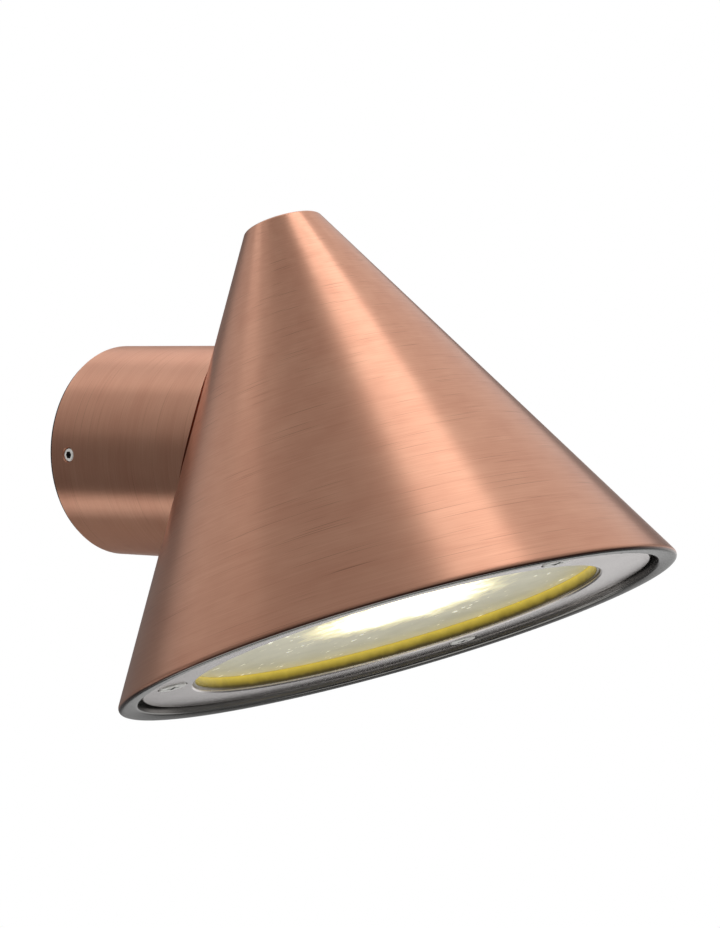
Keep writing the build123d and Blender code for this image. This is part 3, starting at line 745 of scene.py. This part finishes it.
def ring_screw_points(ring):
    """Centres of the ring's screws in the shade's frame."""
    radius = RING.radius - ring.screw_inset
    step = 2 * math.pi / ring.screw_count
    angles = [ring.first_screw + step * i for i in range(ring.screw_count)]
    return [(radius * math.cos(a), radius * math.sin(a), a) for a in angles]


def cone_slope(shade):
    """How much the shade's outside radius shrinks for each metre up its axis."""
    return (shade.base_radius - shade.top_radius) / SHADE.high


def shade_envelope(shade, extra=0.0, steps=480):
    """The shade's outer form as one solid, grown sideways by extra."""
    return rod(shade.base_radius + extra, 0.0, SHADE.high, steps=steps,
               top_radius=shade.top_radius + extra)


def shade_shell(shade):
    """Hollow cone with a rounded rim, a pocket for the sealed glass and the shelf over it."""
    slope = cone_slope(shade)
    across = shade.wall * math.sqrt(1 + slope ** 2)
    pocket = SEAL.radius + shade.pocket_gap
    shelf_top = SEAL.high + shade.shelf
    cavity_top = SHADE.high - shade.crown
    shelf_bore = RING.bore - shade.shelf_reach
    bm = spun([
        (0.0, SHADE.high), (shade.top_radius, SHADE.high), (shade.base_radius, 0.0),
        (shade.rim_bore, shade.rim_dish), (shade.rim_bore, RING.high), (pocket, RING.high),
        (pocket, SEAL.high), (shelf_bore, SEAL.high), (shelf_bore, shelf_top),
        (shade.base_radius - slope * shelf_top - across, shelf_top),
        (shade.base_radius - slope * cavity_top - across, cavity_top), (0.0, cavity_top),
    ], shade.steps, closed=False)
    round_ring(bm, shade.base_radius, 0.0, shade.rim_round, 8)
    round_ring(bm, shade.rim_bore, shade.rim_dish, shade.rim_inner_round, 5)
    round_ring(bm, shade.top_radius, SHADE.high, shade.top_round, 6)
    return bm


def shade_additions(shade, ring):
    """Screw bosses with their webs, the strap's posts and the pad for the stem."""
    parts = []
    for x, y, angle in ring_screw_points(ring):
        parts.append(rod(shade.boss_radius, SEAL.high, shade.boss_top, x, y))
        reach = shade.base_radius - math.hypot(x, y)
        web = block((reach, 2 * shade.boss_radius, shade.boss_top - SEAL.high),
                    (shade.base_radius - reach / 2, 0.0, (SEAL.high + shade.boss_top) / 2))
        parts.append(turned_about(web, angle))
    for x in strap_posts():
        parts.append(rod(shade.post_radius, STRAP.high, SHADE.high, x, 0.0))
    pad = rod(shade.pad_radius, 0.0, SHADE_WASHER.low)
    parts.append(moved_by(pad, SHADE_FRAME.inverted() @ BARREL_FRAME))
    return parts


def strap_posts():
    """Both posts stand on the strap's screws, which are in the frame."""
    inverse = SHADE_FRAME.inverted()
    across = [(inverse @ v.co).x for v in frame["nodes"]["strap_screws"].data.vertices]
    sides = [x for x in across if x < 0], [x for x in across if x > 0]
    return [(min(side) + max(side)) / 2 for side in sides]


def shade_holes(shade, ring):
    """Blind holes of the ring's and the strap's screws, and the stem's way through the wall."""
    parts = [
        rod(shade.screw_hole, RING.high - MM, shade.hole_top, x, y)
        for x, y, angle in ring_screw_points(ring)
    ]
    stem = rod(shade.stem_hole, BARREL_WASHER.high, SHADE_WASHER.high + MM)
    parts.append(moved_by(stem, SHADE_FRAME.inverted() @ BARREL_FRAME))
    return parts


# A chord of the turned form lies inside the true cone, so its skin is taken this deep
SKIN = 1.2 * MM
TOP_SKIN = 1.5 * MM


def split_finish(bm, shade):
    """Give plated faces the first material and bare ones the second."""
    slope = cone_slope(shade)
    for face in bm.faces:
        middle = face.calc_center_median()
        radius = math.hypot(middle.x, middle.y)
        outside = radius > shade.base_radius - slope * middle.z - SKIN
        on_top = middle.z > SHADE.high - TOP_SKIN
        above_end = middle.z > shade.plate_end
        face.material_index = 0 if (outside or on_top) and above_end else 1


# Operators

class WALLLIGHT_OT_shade(Operator):
    """Turn the shade at full smoothness, plated outside and bare at the rim and inside"""
    bl_idname = "walllight.shade"
    bl_label = "Copper shade"

    def execute(self, context):
        shade = context.scene.wall_light_shade
        ring = context.scene.wall_light_ring
        copper = context.scene.wall_light_copper
        bm = shade_shell(shade)
        for addition in shade_additions(shade, ring):
            inside = combined(addition, shade_envelope(shade, -shade.wall / 2, 96), "INTERSECT")
            bm = combined(bm, inside, "UNION")
        bm = combined(bm, joined(*shade_holes(shade, ring)), "DIFFERENCE")
        split_finish(bm, shade)
        smooth(bm)
        plate = brushed_copper("shade_copper_plate", SHADE_BASE, SHADE_TURN, SHADE.radius, copper,
                               shade.plate_end)
        bare = satin_metal("bare_cast_aluminium", copper.bare, 0.22, glancing=0.6)
        make_piece("copper_shade", bm, [plate, bare], "head", SHADE_FRAME, "shade_cone")
        return {"FINISHED"}


class WALLLIGHT_OT_barrel(Operator):
    """Cut the barrel's saddle to the shade at full smoothness and plate it"""
    bl_idname = "walllight.barrel"
    bl_label = "Copper barrel"

    def execute(self, context):
        shade = context.scene.wall_light_shade
        barrel = context.scene.wall_light_barrel
        copper = context.scene.wall_light_copper
        to_barrel = BARREL_FRAME.inverted() @ SHADE_FRAME
        bm = rod(BARREL.radius, BARREL.low, -SHADE_BASE.y, steps=shade.steps)
        bm = combined(bm, moved_by(shade_envelope(shade), to_barrel), "DIFFERENCE")
        relief = moved_by(shade_envelope(shade, barrel.relief), to_barrel)
        core = rod(BARREL.radius - 2 * barrel.relief, 0.0, -SHADE_BASE.y, steps=shade.steps)
        bm = combined(bm, combined(relief, core, "DIFFERENCE"), "DIFFERENCE")
        bm = combined(bm, self.bores(shade, barrel), "DIFFERENCE")
        smooth(bm)
        plate = brushed_copper("barrel_copper_plate", Vector(), BARREL_TURN, BARREL.radius, copper)
        make_piece("copper_barrel", bm, [plate], "head", BARREL_FRAME,
                   "mounting_barrel")
        return {"FINISHED"}

    def bores(self, shade, barrel):
        """Everything drilled or bored in the barrel, as one cutter."""
        floor = BARREL_WASHER.high
        bore = rod(BARREL.radius - barrel.wall, 0.0, floor, steps=shade.steps)
        stem = rod(shade.stem_hole, floor - MM, -SHADE_BASE.y)
        terminal = rod(barrel.terminal_hole, floor - MM, floor + barrel.hole_depth,
                       0.0, barrel.terminal_place)
        earth = rod(barrel.earth_hole, floor - MM, floor + barrel.hole_depth,
                    0.0, -barrel.earth_place)
        bore = combined(bore, joined(stem, terminal, earth), "UNION")
        for side in (-1, 1):
            hole = rod(barrel.screw_hole, BARREL.radius - barrel.wall - MM, BARREL.radius + MM)
            bevel = rod(barrel.screw_hole, BARREL.radius - barrel.bevel_depth,
                        BARREL.radius + barrel.bevel_depth,
                        top_radius=barrel.screw_hole + 2 * barrel.bevel)
            # A hole runs out from the barrel's axis to its side
            place = Matrix.Translation((0, 0, barrel.screw_from_wall))
            place = place @ Matrix.Rotation(math.radians(90 * side), 4, "Y")
            for cutter in (hole, bevel):
                bore = combined(bore, moved_by(cutter, place), "UNION")
        return bore


class WALLLIGHT_OT_ring(Operator):
    """Turn the retaining ring with its counterbores, and model its cross-recess screws"""
    bl_idname = "walllight.ring"
    bl_label = "Ring and screws"

    def execute(self, context):
        ring = context.scene.wall_light_ring
        steps = context.scene.wall_light_shade.steps
        points = ring_screw_points(ring)
        bm = spun([
            (RING.bore, RING.low + ring.chamfer), (RING.bore + ring.chamfer, RING.low),
            (RING.radius - ring.chamfer, RING.low), (RING.radius, RING.low + ring.chamfer),
            (RING.radius, RING.high), (RING.bore, RING.high),
        ], steps)
        seat = RING.low + ring.seat
        cutters = []
        for x, y, angle in points:
            cutters.append(combined(
                rod(ring.head_radius + ring.seat_gap, 0.0, seat, x, y, steps=64),
                rod(ring.shank_radius, 0.0, RING.high + MM, x, y), "UNION",
            ))
        bm = combined(bm, joined(*cutters), "DIFFERENCE")
        smooth(bm)
        metal = satin_metal("satin_aluminium", ring.metal, ring.roughness)
        make_piece("clamp_ring", bm, [metal], "glass_ring", SHADE_FRAME, "retaining_ring")
        zinc = zinc_plate("bright_zinc_plate")
        # Painted shade: a near-black finish inside the screws' recesses stands for the shade that falls
        # there
        painted_recess_shade = moulded("painted_shade_in_recess", "#1C1916", 0.6)
        screws = []
        for x, y, angle in points:
            screw = turned_about(recessed_screw(ring), 2.3 * angle)
            bmesh.ops.translate(screw, verts=screw.verts, vec=(x, y, seat))
            screws.append(screw)
        screws = joined(*screws)
        smooth(screws)
        make_piece("pan_head_screws", screws, [zinc, painted_recess_shade], "glass_ring", SHADE_FRAME,
                   "ring_screws")
        for side, name in ((-1, "left"), (1, "right")):
            low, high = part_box("set_screw_" + name)
            middle = (Vector(low) + Vector(high)) / 2
            middle.x -= side * (high[0] - low[0]) / 2
            place = Matrix.Translation(middle) @ Matrix.Rotation(math.radians(90 * side), 4, "Y")
            socket = socket_screw(ring, high[0] - low[0])
            smooth(socket)
            make_piece("socket_screw_" + name, socket, [zinc, painted_recess_shade], "set_screw_" + name,
                       place, "set_screw_" + name)
        return {"FINISHED"}


def threaded(radius, root, pitch, low, high):
    """Profile of a thread, drawn as rings of its pitch between two heights."""
    points = [(radius, low)]
    level = low
    while level < high - 2 * pitch:
        points += [(root, level + pitch / 2), (radius, level + pitch)]
        level += pitch
    return points + [(root, high)]


THREAD_DEPTH = 0.3 * MM
# A set screw's hollow tip, its plain end over the thread, and the rounding of that end as steps
# inwards and down from it
CUP_WALL, CUP_DEPTH = 0.5 * MM, 0.3 * MM
THREAD_LOW, PLAIN_END = 0.4 * MM, 1.1 * MM
END_STEPS = ((0.0, 0.4 * MM), (0.12 * MM, 0.15 * MM), (0.35 * MM, 0.0))
SOCKET_DEPTH = 2.0 * MM
# Painted shade starts this far inside a socket's edges
PAINTED_SHADE_INSET = 0.05 * MM


def socket_screw(ring, length):
    """Set screw that points up from height 0, with a rounded end and a hexagon socket."""
    radius, pitch = ring.shank_radius, ring.thread_pitch
    root = radius - THREAD_DEPTH
    profile = [(0.0, CUP_DEPTH), (root - CUP_WALL, 0.0), (root, CUP_DEPTH)]
    profile += threaded(radius, root, pitch, THREAD_LOW, length - PLAIN_END)
    profile += [(radius - inwards, length - down) for inwards, down in END_STEPS]
    profile.append((0.0, length))
    screw = spun(profile, 64, closed=False)
    corner = ring.socket / math.cos(math.radians(30))
    screw = combined(screw, rod(corner, length - SOCKET_DEPTH, length + MM, steps=6), "DIFFERENCE")
    shade_painted_within(screw, corner + 0.01 * MM, length - SOCKET_DEPTH + PAINTED_SHADE_INSET, length - PAINTED_SHADE_INSET)
    return screw


def shade_painted_within(bm, radius, low, high):
    """Give the faces of a recess the second material, its painted shade: inside a radius and between two
    heights.
    """
    for face in bm.faces:
        middle = face.calc_center_median()
        if math.hypot(middle.x, middle.y) < radius and low < middle.z < high:
            face.material_index = 1


# Pan head: rounding of its height, and its cross recess as shares of the head's radius and height,
# with the taper that narrows it towards its floor
HEAD_ROUNDING = 0.18
HEAD_FOOT = 0.99
RECESS_LENGTH, RECESS_WIDTH, RECESS_HEIGHT = 1.15, 0.26, 1.4
RECESS_TAPER = (0.6, 0.7)
# Painted shade in the cross recess: its reach as a share of the head's radius, and its depths as shares
# of the head's height
RECESS_PAINTED_SHADE = (0.6, 0.97, 0.2)
THREAD_START = 1.0 * MM


def recessed_screw(ring):
    """Pan-head screw that hangs from its seat at height 0, with a tapered cross recess."""
    head, height, shank = ring.head_radius, ring.head_height, ring.shank_radius
    rounding = height * HEAD_ROUNDING
    profile = [(0.0, -height)]
    for angle in (math.radians(a) for a in range(0, 91, 15)):
        profile.append((head - rounding * (1 - math.sin(angle)),
                        -height + rounding * (1 - math.cos(angle))))
    profile += [(head * HEAD_FOOT, 0.0), (shank, 0.0)]
    profile += threaded(shank, shank - THREAD_DEPTH, ring.thread_pitch, THREAD_START,
                        ring.shank_length)
    profile.append((0.0, ring.shank_length))
    screw = spun(profile, 64, closed=False)
    for turn in (0.0, math.pi / 2):
        wing = block((head * RECESS_LENGTH, head * RECESS_WIDTH, height * RECESS_HEIGHT),
                     (0.0, 0.0, -height), RECESS_TAPER)
        screw = combined(screw, turned_about(wing, turn), "DIFFERENCE")
    reach, deep, shallow = RECESS_PAINTED_SHADE
    shade_painted_within(screw, head * reach, -height * deep, -height * shallow)
    return screw


class WALLLIGHT_OT_lens(Operator):
    """Model the pressed glass with its bubbly face, and the yellow seal round it"""
    bl_idname = "walllight.lens"
    bl_label = "Glass and seal"

    def execute(self, context):
        settings = context.scene.wall_light_lens
        radius, bevel, count = GLASS.radius, settings.bevel, settings.rings
        profile = [((radius - bevel) * i / count, GLASS.low) for i in range(count + 1)]
        profile += [(radius, GLASS.low + bevel), (radius, GLASS.high - bevel)]
        profile += [(radius - bevel, GLASS.high), (0.0, GLASS.high)]
        bm = spun(profile, settings.steps, closed=False)
        for v in bm.verts:
            if v.co.z < GLASS.low + bevel / 2:
                v.co.z += pressed_texture(v.co, radius - 2 * bevel, settings.ripple)
        smooth(bm)
        make_piece("textured_glass", bm, [textured_lens(settings)], "glass_ring",
                   SHADE_FRAME, "lens_glass")
        seal = self.seal(settings, context.scene.wall_light_shade.steps)
        make_piece("silicone_seal", seal, [yellow_silicone_painted_light(settings)], "glass_ring",
                   SHADE_FRAME, "lens_seal")
        return {"FINISHED"}

    def seal(self, settings, steps):
        """Channel round the glass edge with a rounded lip, and the bead where its ends meet."""
        inside = SEAL.bore
        outside = inside + settings.lip
        channel = GLASS.radius + 0.1 * MM
        bm = spun([
            (inside, SEAL.low), (outside, SEAL.low), (outside, RING.high), (SEAL.radius, RING.high),
            (SEAL.radius, SEAL.high), (outside, SEAL.high), (outside, GLASS.high),
            (channel, GLASS.high), (channel, GLASS.low), (inside, GLASS.low),
        ], steps)
        round_ring(bm, inside, SEAL.low, settings.lip / 3, 4)
        bead = rod(0.4 * MM, SEAL.low + 0.3 * MM, GLASS.low, inside + 0.15 * MM, 0.0, steps=16)
        bm = joined(bm, turned_about(bead, settings.joint_angle))
        smooth(bm)
        return bm


# The pressed face's bubbles, slow ripples and fine grain: their size and share of the depth
PRESSED_BUBBLES = (3.2 * MM, 0.55)
PRESSED_RIPPLES = (7 * MM, 0.35)
PRESSED_GRAIN = (1.6 * MM, 0.15)
PRESSED_FADE = 3 * MM
PRESSED_DEPTH = 0.8


def pressed_texture(point, edge, depth):
    """Height of the pressed face at a point: bubbles and slow ripples that fade at the edge."""
    flat = Vector((point.x, point.y, 0.0))
    size, share = PRESSED_BUBBLES
    height = share * noise.voronoi(flat / size)[0][0]
    for size, share in (PRESSED_RIPPLES, PRESSED_GRAIN):
        height += share * (noise.noise(flat / size) + 1)
    fade = min(1.0, max(0.0, (edge - flat.length) / PRESSED_FADE))
    return depth * fade * height * PRESSED_DEPTH


class WALLLIGHT_OT_lamp(Operator):
    """Light the lamp's front and finish its body"""
    bl_idname = "walllight.lamp"
    bl_label = "Lamp"

    def execute(self, context):
        settings = context.scene.wall_light_lens
        finish_nodes(["lamp_diffuser"], lit_diffuser(settings))
        finish_nodes(["lamp_housing"], moulded("white_polymer", "#E6E5E0", 0.45))
        finish_nodes(["lamp_base"], moulded("white_nylon", "#DEDDD6", 0.5))
        return {"FINISHED"}


class WALLLIGHT_OT_fittings(Operator):
    """Finish the bracket, its seals, the stem, the holder and the wiring"""
    bl_idname = "walllight.fittings"
    bl_label = "Fittings"

    def execute(self, context):
        zinc = satin_metal("zinc_plated_steel", "#AEB2B6", 0.38, grain=0.6 * MM)
        finish_nodes(["wall_plate"], zinc)
        finish_nodes([
            "hollow_stem", "shade_nut", "barrel_nut", "barrel_spring_washer", "terminal_screws",
            "terminal_fixing_screw", "holder_strap", "strap_screws", "lampholder_screws", "lamp_pins",
        ], zinc)
        rubber = moulded("black_epdm_rubber", "#232323", 0.75, grain=0.3 * MM, strength=0.4)
        finish_nodes(["wall_gasket", "cable_grommet", "shade_seal_washer"], rubber)
        brass = satin_metal("turned_brass", "#D2AC62", 0.28)
        finish_nodes([
            "plate_earth_screw", "plate_earth_washer", "barrel_earth_screw", "barrel_earth_washer",
            "terminal_inserts", "lampholder_contacts",
        ], brass)
        finish_nodes(["stem_bush"], moulded("natural_nylon", "#DAD8CC", 0.5))
        ceramic = moulded("glazed_steatite", "#E9E6DC", 0.25, coat=0.5)
        finish_nodes(["terminal_block", "lampholder_body", "lampholder_cap"], ceramic)
        finish_nodes(["live_lead"], moulded("brown_silicone_sleeve", "#4A2A1A", 0.55))
        finish_nodes(["neutral_lead"], moulded("blue_silicone_sleeve", "#2A5BA0", 0.55))
        return {"FINISHED"}


def direction(azimuth, elevation):
    """Unit vector; azimuth 0 is away from the wall and 90 degrees is +X."""
    flat = math.cos(elevation)
    return Vector((math.sin(azimuth) * flat, -math.cos(azimuth) * flat, math.sin(elevation)))


# White studio lamps: name, azimuth and elevation in degrees, distance, width, height, brightness
LAMPS = (
    ("overhead_softbox", 68, 79.5, 1.4, 1.2, 0.60, 1.36),
    ("side_softbox", 95, 47.5, 1.6, 2.2, 1.96, 0.5),
    ("wall_side_softbox", 166, 46, 1.5, 1.3, 0.55, 0.66),
    ("behind_wall_softbox", -167, 27, 1.5, 1.1, 0.9, 0.34),
    ("low_strip", -150, -36.5, 1.4, 0.8, 0.24, 1.25),
)


class WALLLIGHT_OT_stage(Operator):
    """Set the camera, the floor, the white background and the studio lamps"""
    bl_idname = "walllight.stage"
    bl_label = "Stage"

    def execute(self, context):
        settings = context.scene.wall_light_stage
        make_camera(settings)
        make_floor(settings)
        make_world(settings)
        for lamp in LAMPS:
            make_lamp(Vector(settings.target), *lamp)
        context.scene.view_settings.view_transform = "Standard"
        return {"FINISHED"}


def turned_to(back):
    """Turn of a camera or lamp that looks against a direction."""
    return back.to_track_quat("Z", "Y").to_matrix().to_4x4()


def make_camera(settings):
    """Camera as the photograph's outlines put it."""
    data = bpy.data.cameras.new("camera")
    data.lens = settings.lens
    data.sensor_width = 36
    camera = placed("camera", data)
    back = direction(settings.azimuth, settings.elevation)
    roll = Matrix.Rotation(settings.roll, 4, "Z")
    place = Matrix.Translation(Vector(settings.target) + back * settings.distance)
    camera.matrix_world = place @ turned_to(back) @ roll
    bpy.context.scene.camera = camera


def make_floor(settings):
    """Plain pale floor, far below as under a light on a wall."""
    bm = bmesh.new()
    bmesh.ops.create_grid(bm, x_segments=1, y_segments=1, size=settings.floor_size / 2,
                          matrix=Matrix.Translation((0, 0, -settings.floor_drop)))
    mesh = bpy.data.meshes.new("floor")
    bm.to_mesh(mesh)
    bm.free()
    floor = placed("floor", mesh)
    material, tree, shader = new_material("pale_floor")
    set_shader(shader, base_color=linear("#E8E8E6"), roughness=0.8)
    mesh.materials.append(material)


# What polished metal sees: a grey studio, darker low down and darkest round the camera, and a
# white backdrop behind the light that ends above the floor; all angles in degrees
STUDIO_LOW = 0.17
STUDIO_HIGH = 0.38
BACKDROP = 0.95
BACKDROP_AZIMUTH = 105
BACKDROP_HALF_WIDTH = (20, 42)
BACKDROP_FOOT = (-33, -16)
BACKDROP_TOP = (-8, 10)
CAMERA_SIDE = -49
CAMERA_SIDE_HALF_WIDTH = (35, 70)
CAMERA_SIDE_TOP = (0, 28)
CAMERA_SIDE_SHARE = 0.7
FLOOR_SHARE = 0.5
FLOOR_FALL = (-50, -10)
SOFT_LIGHT = 0.85


def between(tree, height, elevations, low_result=0.0, high_result=1.0):
    """Smooth step of a direction's height between two elevations."""
    low, high = (math.sin(math.radians(a)) for a in elevations)
    return ranged(tree, height, low, high, low_result, high_result, "SMOOTHSTEP")


def facing(tree, heading, azimuth, half_width):
    """How far a heading lies within half a width of an azimuth, with a soft edge."""
    middle = direction(math.radians(azimuth), 0.0)
    nearness = vector_math(tree, "DOT_PRODUCT", heading, middle, "Value")
    inner, outer = (math.cos(math.radians(a)) for a in half_width)
    return ranged(tree, nearness, outer, inner, kind="SMOOTHSTEP")


def studio_reflections(tree):
    """Brightness of the studio by direction, for glossy rays."""
    where = add(tree, "ShaderNodeTexCoord").outputs["Generated"]
    height = part_of(tree, where, "Z")
    studio = ranged(tree, height, 0.0, 1.0, STUDIO_LOW, STUDIO_HIGH)
    heading = vector_math(tree, "NORMALIZE", vector_math(tree, "MULTIPLY", where, (1.0, 1.0, 0.0)))
    sunk = between(tree, height, FLOOR_FALL, 1.0 - FLOOR_SHARE)
    dark = facing(tree, heading, CAMERA_SIDE, CAMERA_SIDE_HALF_WIDTH)
    low = between(tree, height, CAMERA_SIDE_TOP, CAMERA_SIDE_SHARE, 0.0)
    kept = math_node(tree, "SUBTRACT", 1.0, product(tree, dark, low))
    width = facing(tree, heading, BACKDROP_AZIMUTH, BACKDROP_HALF_WIDTH)
    foot = between(tree, height, BACKDROP_FOOT)
    top = between(tree, height, BACKDROP_TOP, 1.0, 0.0)
    panel = product(tree, width, foot, top, BACKDROP)
    return math_node(tree, "MAXIMUM", product(tree, studio, sunk, kept), panel)


def make_world(settings):
    """White to the camera and through the glass, plain to matt surfaces, a studio to gloss."""
    world = bpy.data.worlds.new("studio")
    bpy.context.scene.world = world
    world.use_nodes = True
    tree = world.node_tree
    tree.nodes.clear()
    rays = add(tree, "ShaderNodeLightPath")
    soft = add(tree, "ShaderNodeMix",
               {"Factor": rays.outputs["Is Glossy Ray"], 3: studio_reflections(tree)},
               {2: SOFT_LIGHT}).outputs[0]
    seen = math_node(tree, "MAXIMUM", rays.outputs["Is Camera Ray"], rays.outputs["Is Transmission Ray"])
    white = add(tree, "ShaderNodeBackground", values={"Color": linear(settings.background)})
    lit = add(tree, "ShaderNodeBackground", {"Strength": soft}, {"Color": linear("#FFFFFF")})
    mixed = add(tree, "ShaderNodeMixShader", {
        "Fac": seen, 1: lit.outputs["Background"], 2: white.outputs["Background"],
    })
    add(tree, "ShaderNodeOutputWorld", {"Surface": mixed.outputs["Shader"]})


def make_lamp(target, name, azimuth, elevation, distance, width, height, brightness):
    """Softbox that faces the light and shows at the given brightness in a mirror."""
    data = bpy.data.lights.new(name, "AREA")
    data.shape = "RECTANGLE"
    data.size = width
    data.size_y = height
    data.energy = brightness * math.pi * width * height
    back = direction(math.radians(azimuth), math.radians(elevation))
    placed(name, data).matrix_world = Matrix.Translation(target + back * distance) @ turned_to(back)


class WALLLIGHT_PT_panel(Panel):
    """Lists the wall light's operators"""
    bl_idname = "WALLLIGHT_PT_panel"
    bl_label = "Outdoor wall light"
    bl_space_type = "VIEW_3D"
    bl_region_type = "UI"
    bl_category = "Wall Light"

    def draw(self, context):
        for operator in OPERATORS:
            self.layout.operator(operator.bl_idname)


OPERATORS = (
    WALLLIGHT_OT_stage,
    WALLLIGHT_OT_shade,
    WALLLIGHT_OT_barrel,
    WALLLIGHT_OT_ring,
    WALLLIGHT_OT_lens,
    WALLLIGHT_OT_lamp,
    WALLLIGHT_OT_fittings,
)
SETTINGS = {
    "wall_light_shade": ShadeSettings,
    "wall_light_barrel": BarrelSettings,
    "wall_light_copper": CopperSettings,
    "wall_light_ring": RingSettings,
    "wall_light_lens": LensSettings,
    "wall_light_stage": StageSettings,
}
CLASSES = (*SETTINGS.values(), *OPERATORS, WALLLIGHT_PT_panel)


def register():
    for cls in CLASSES:
        bpy.utils.register_class(cls)
    for name, group in SETTINGS.items():
        setattr(bpy.types.Scene, name, PointerProperty(type=group))


def unregister():
    for name in SETTINGS:
        delattr(bpy.types.Scene, name)
    for cls in reversed(CLASSES):
        bpy.utils.unregister_class(cls)


def main():
    register()
    for operator in OPERATORS:
        category, name = operator.bl_idname.split(".")
        getattr(getattr(bpy.ops, category), name)()
    bpy.context.view_layer.update()


if __name__ == "__main__":
    main()
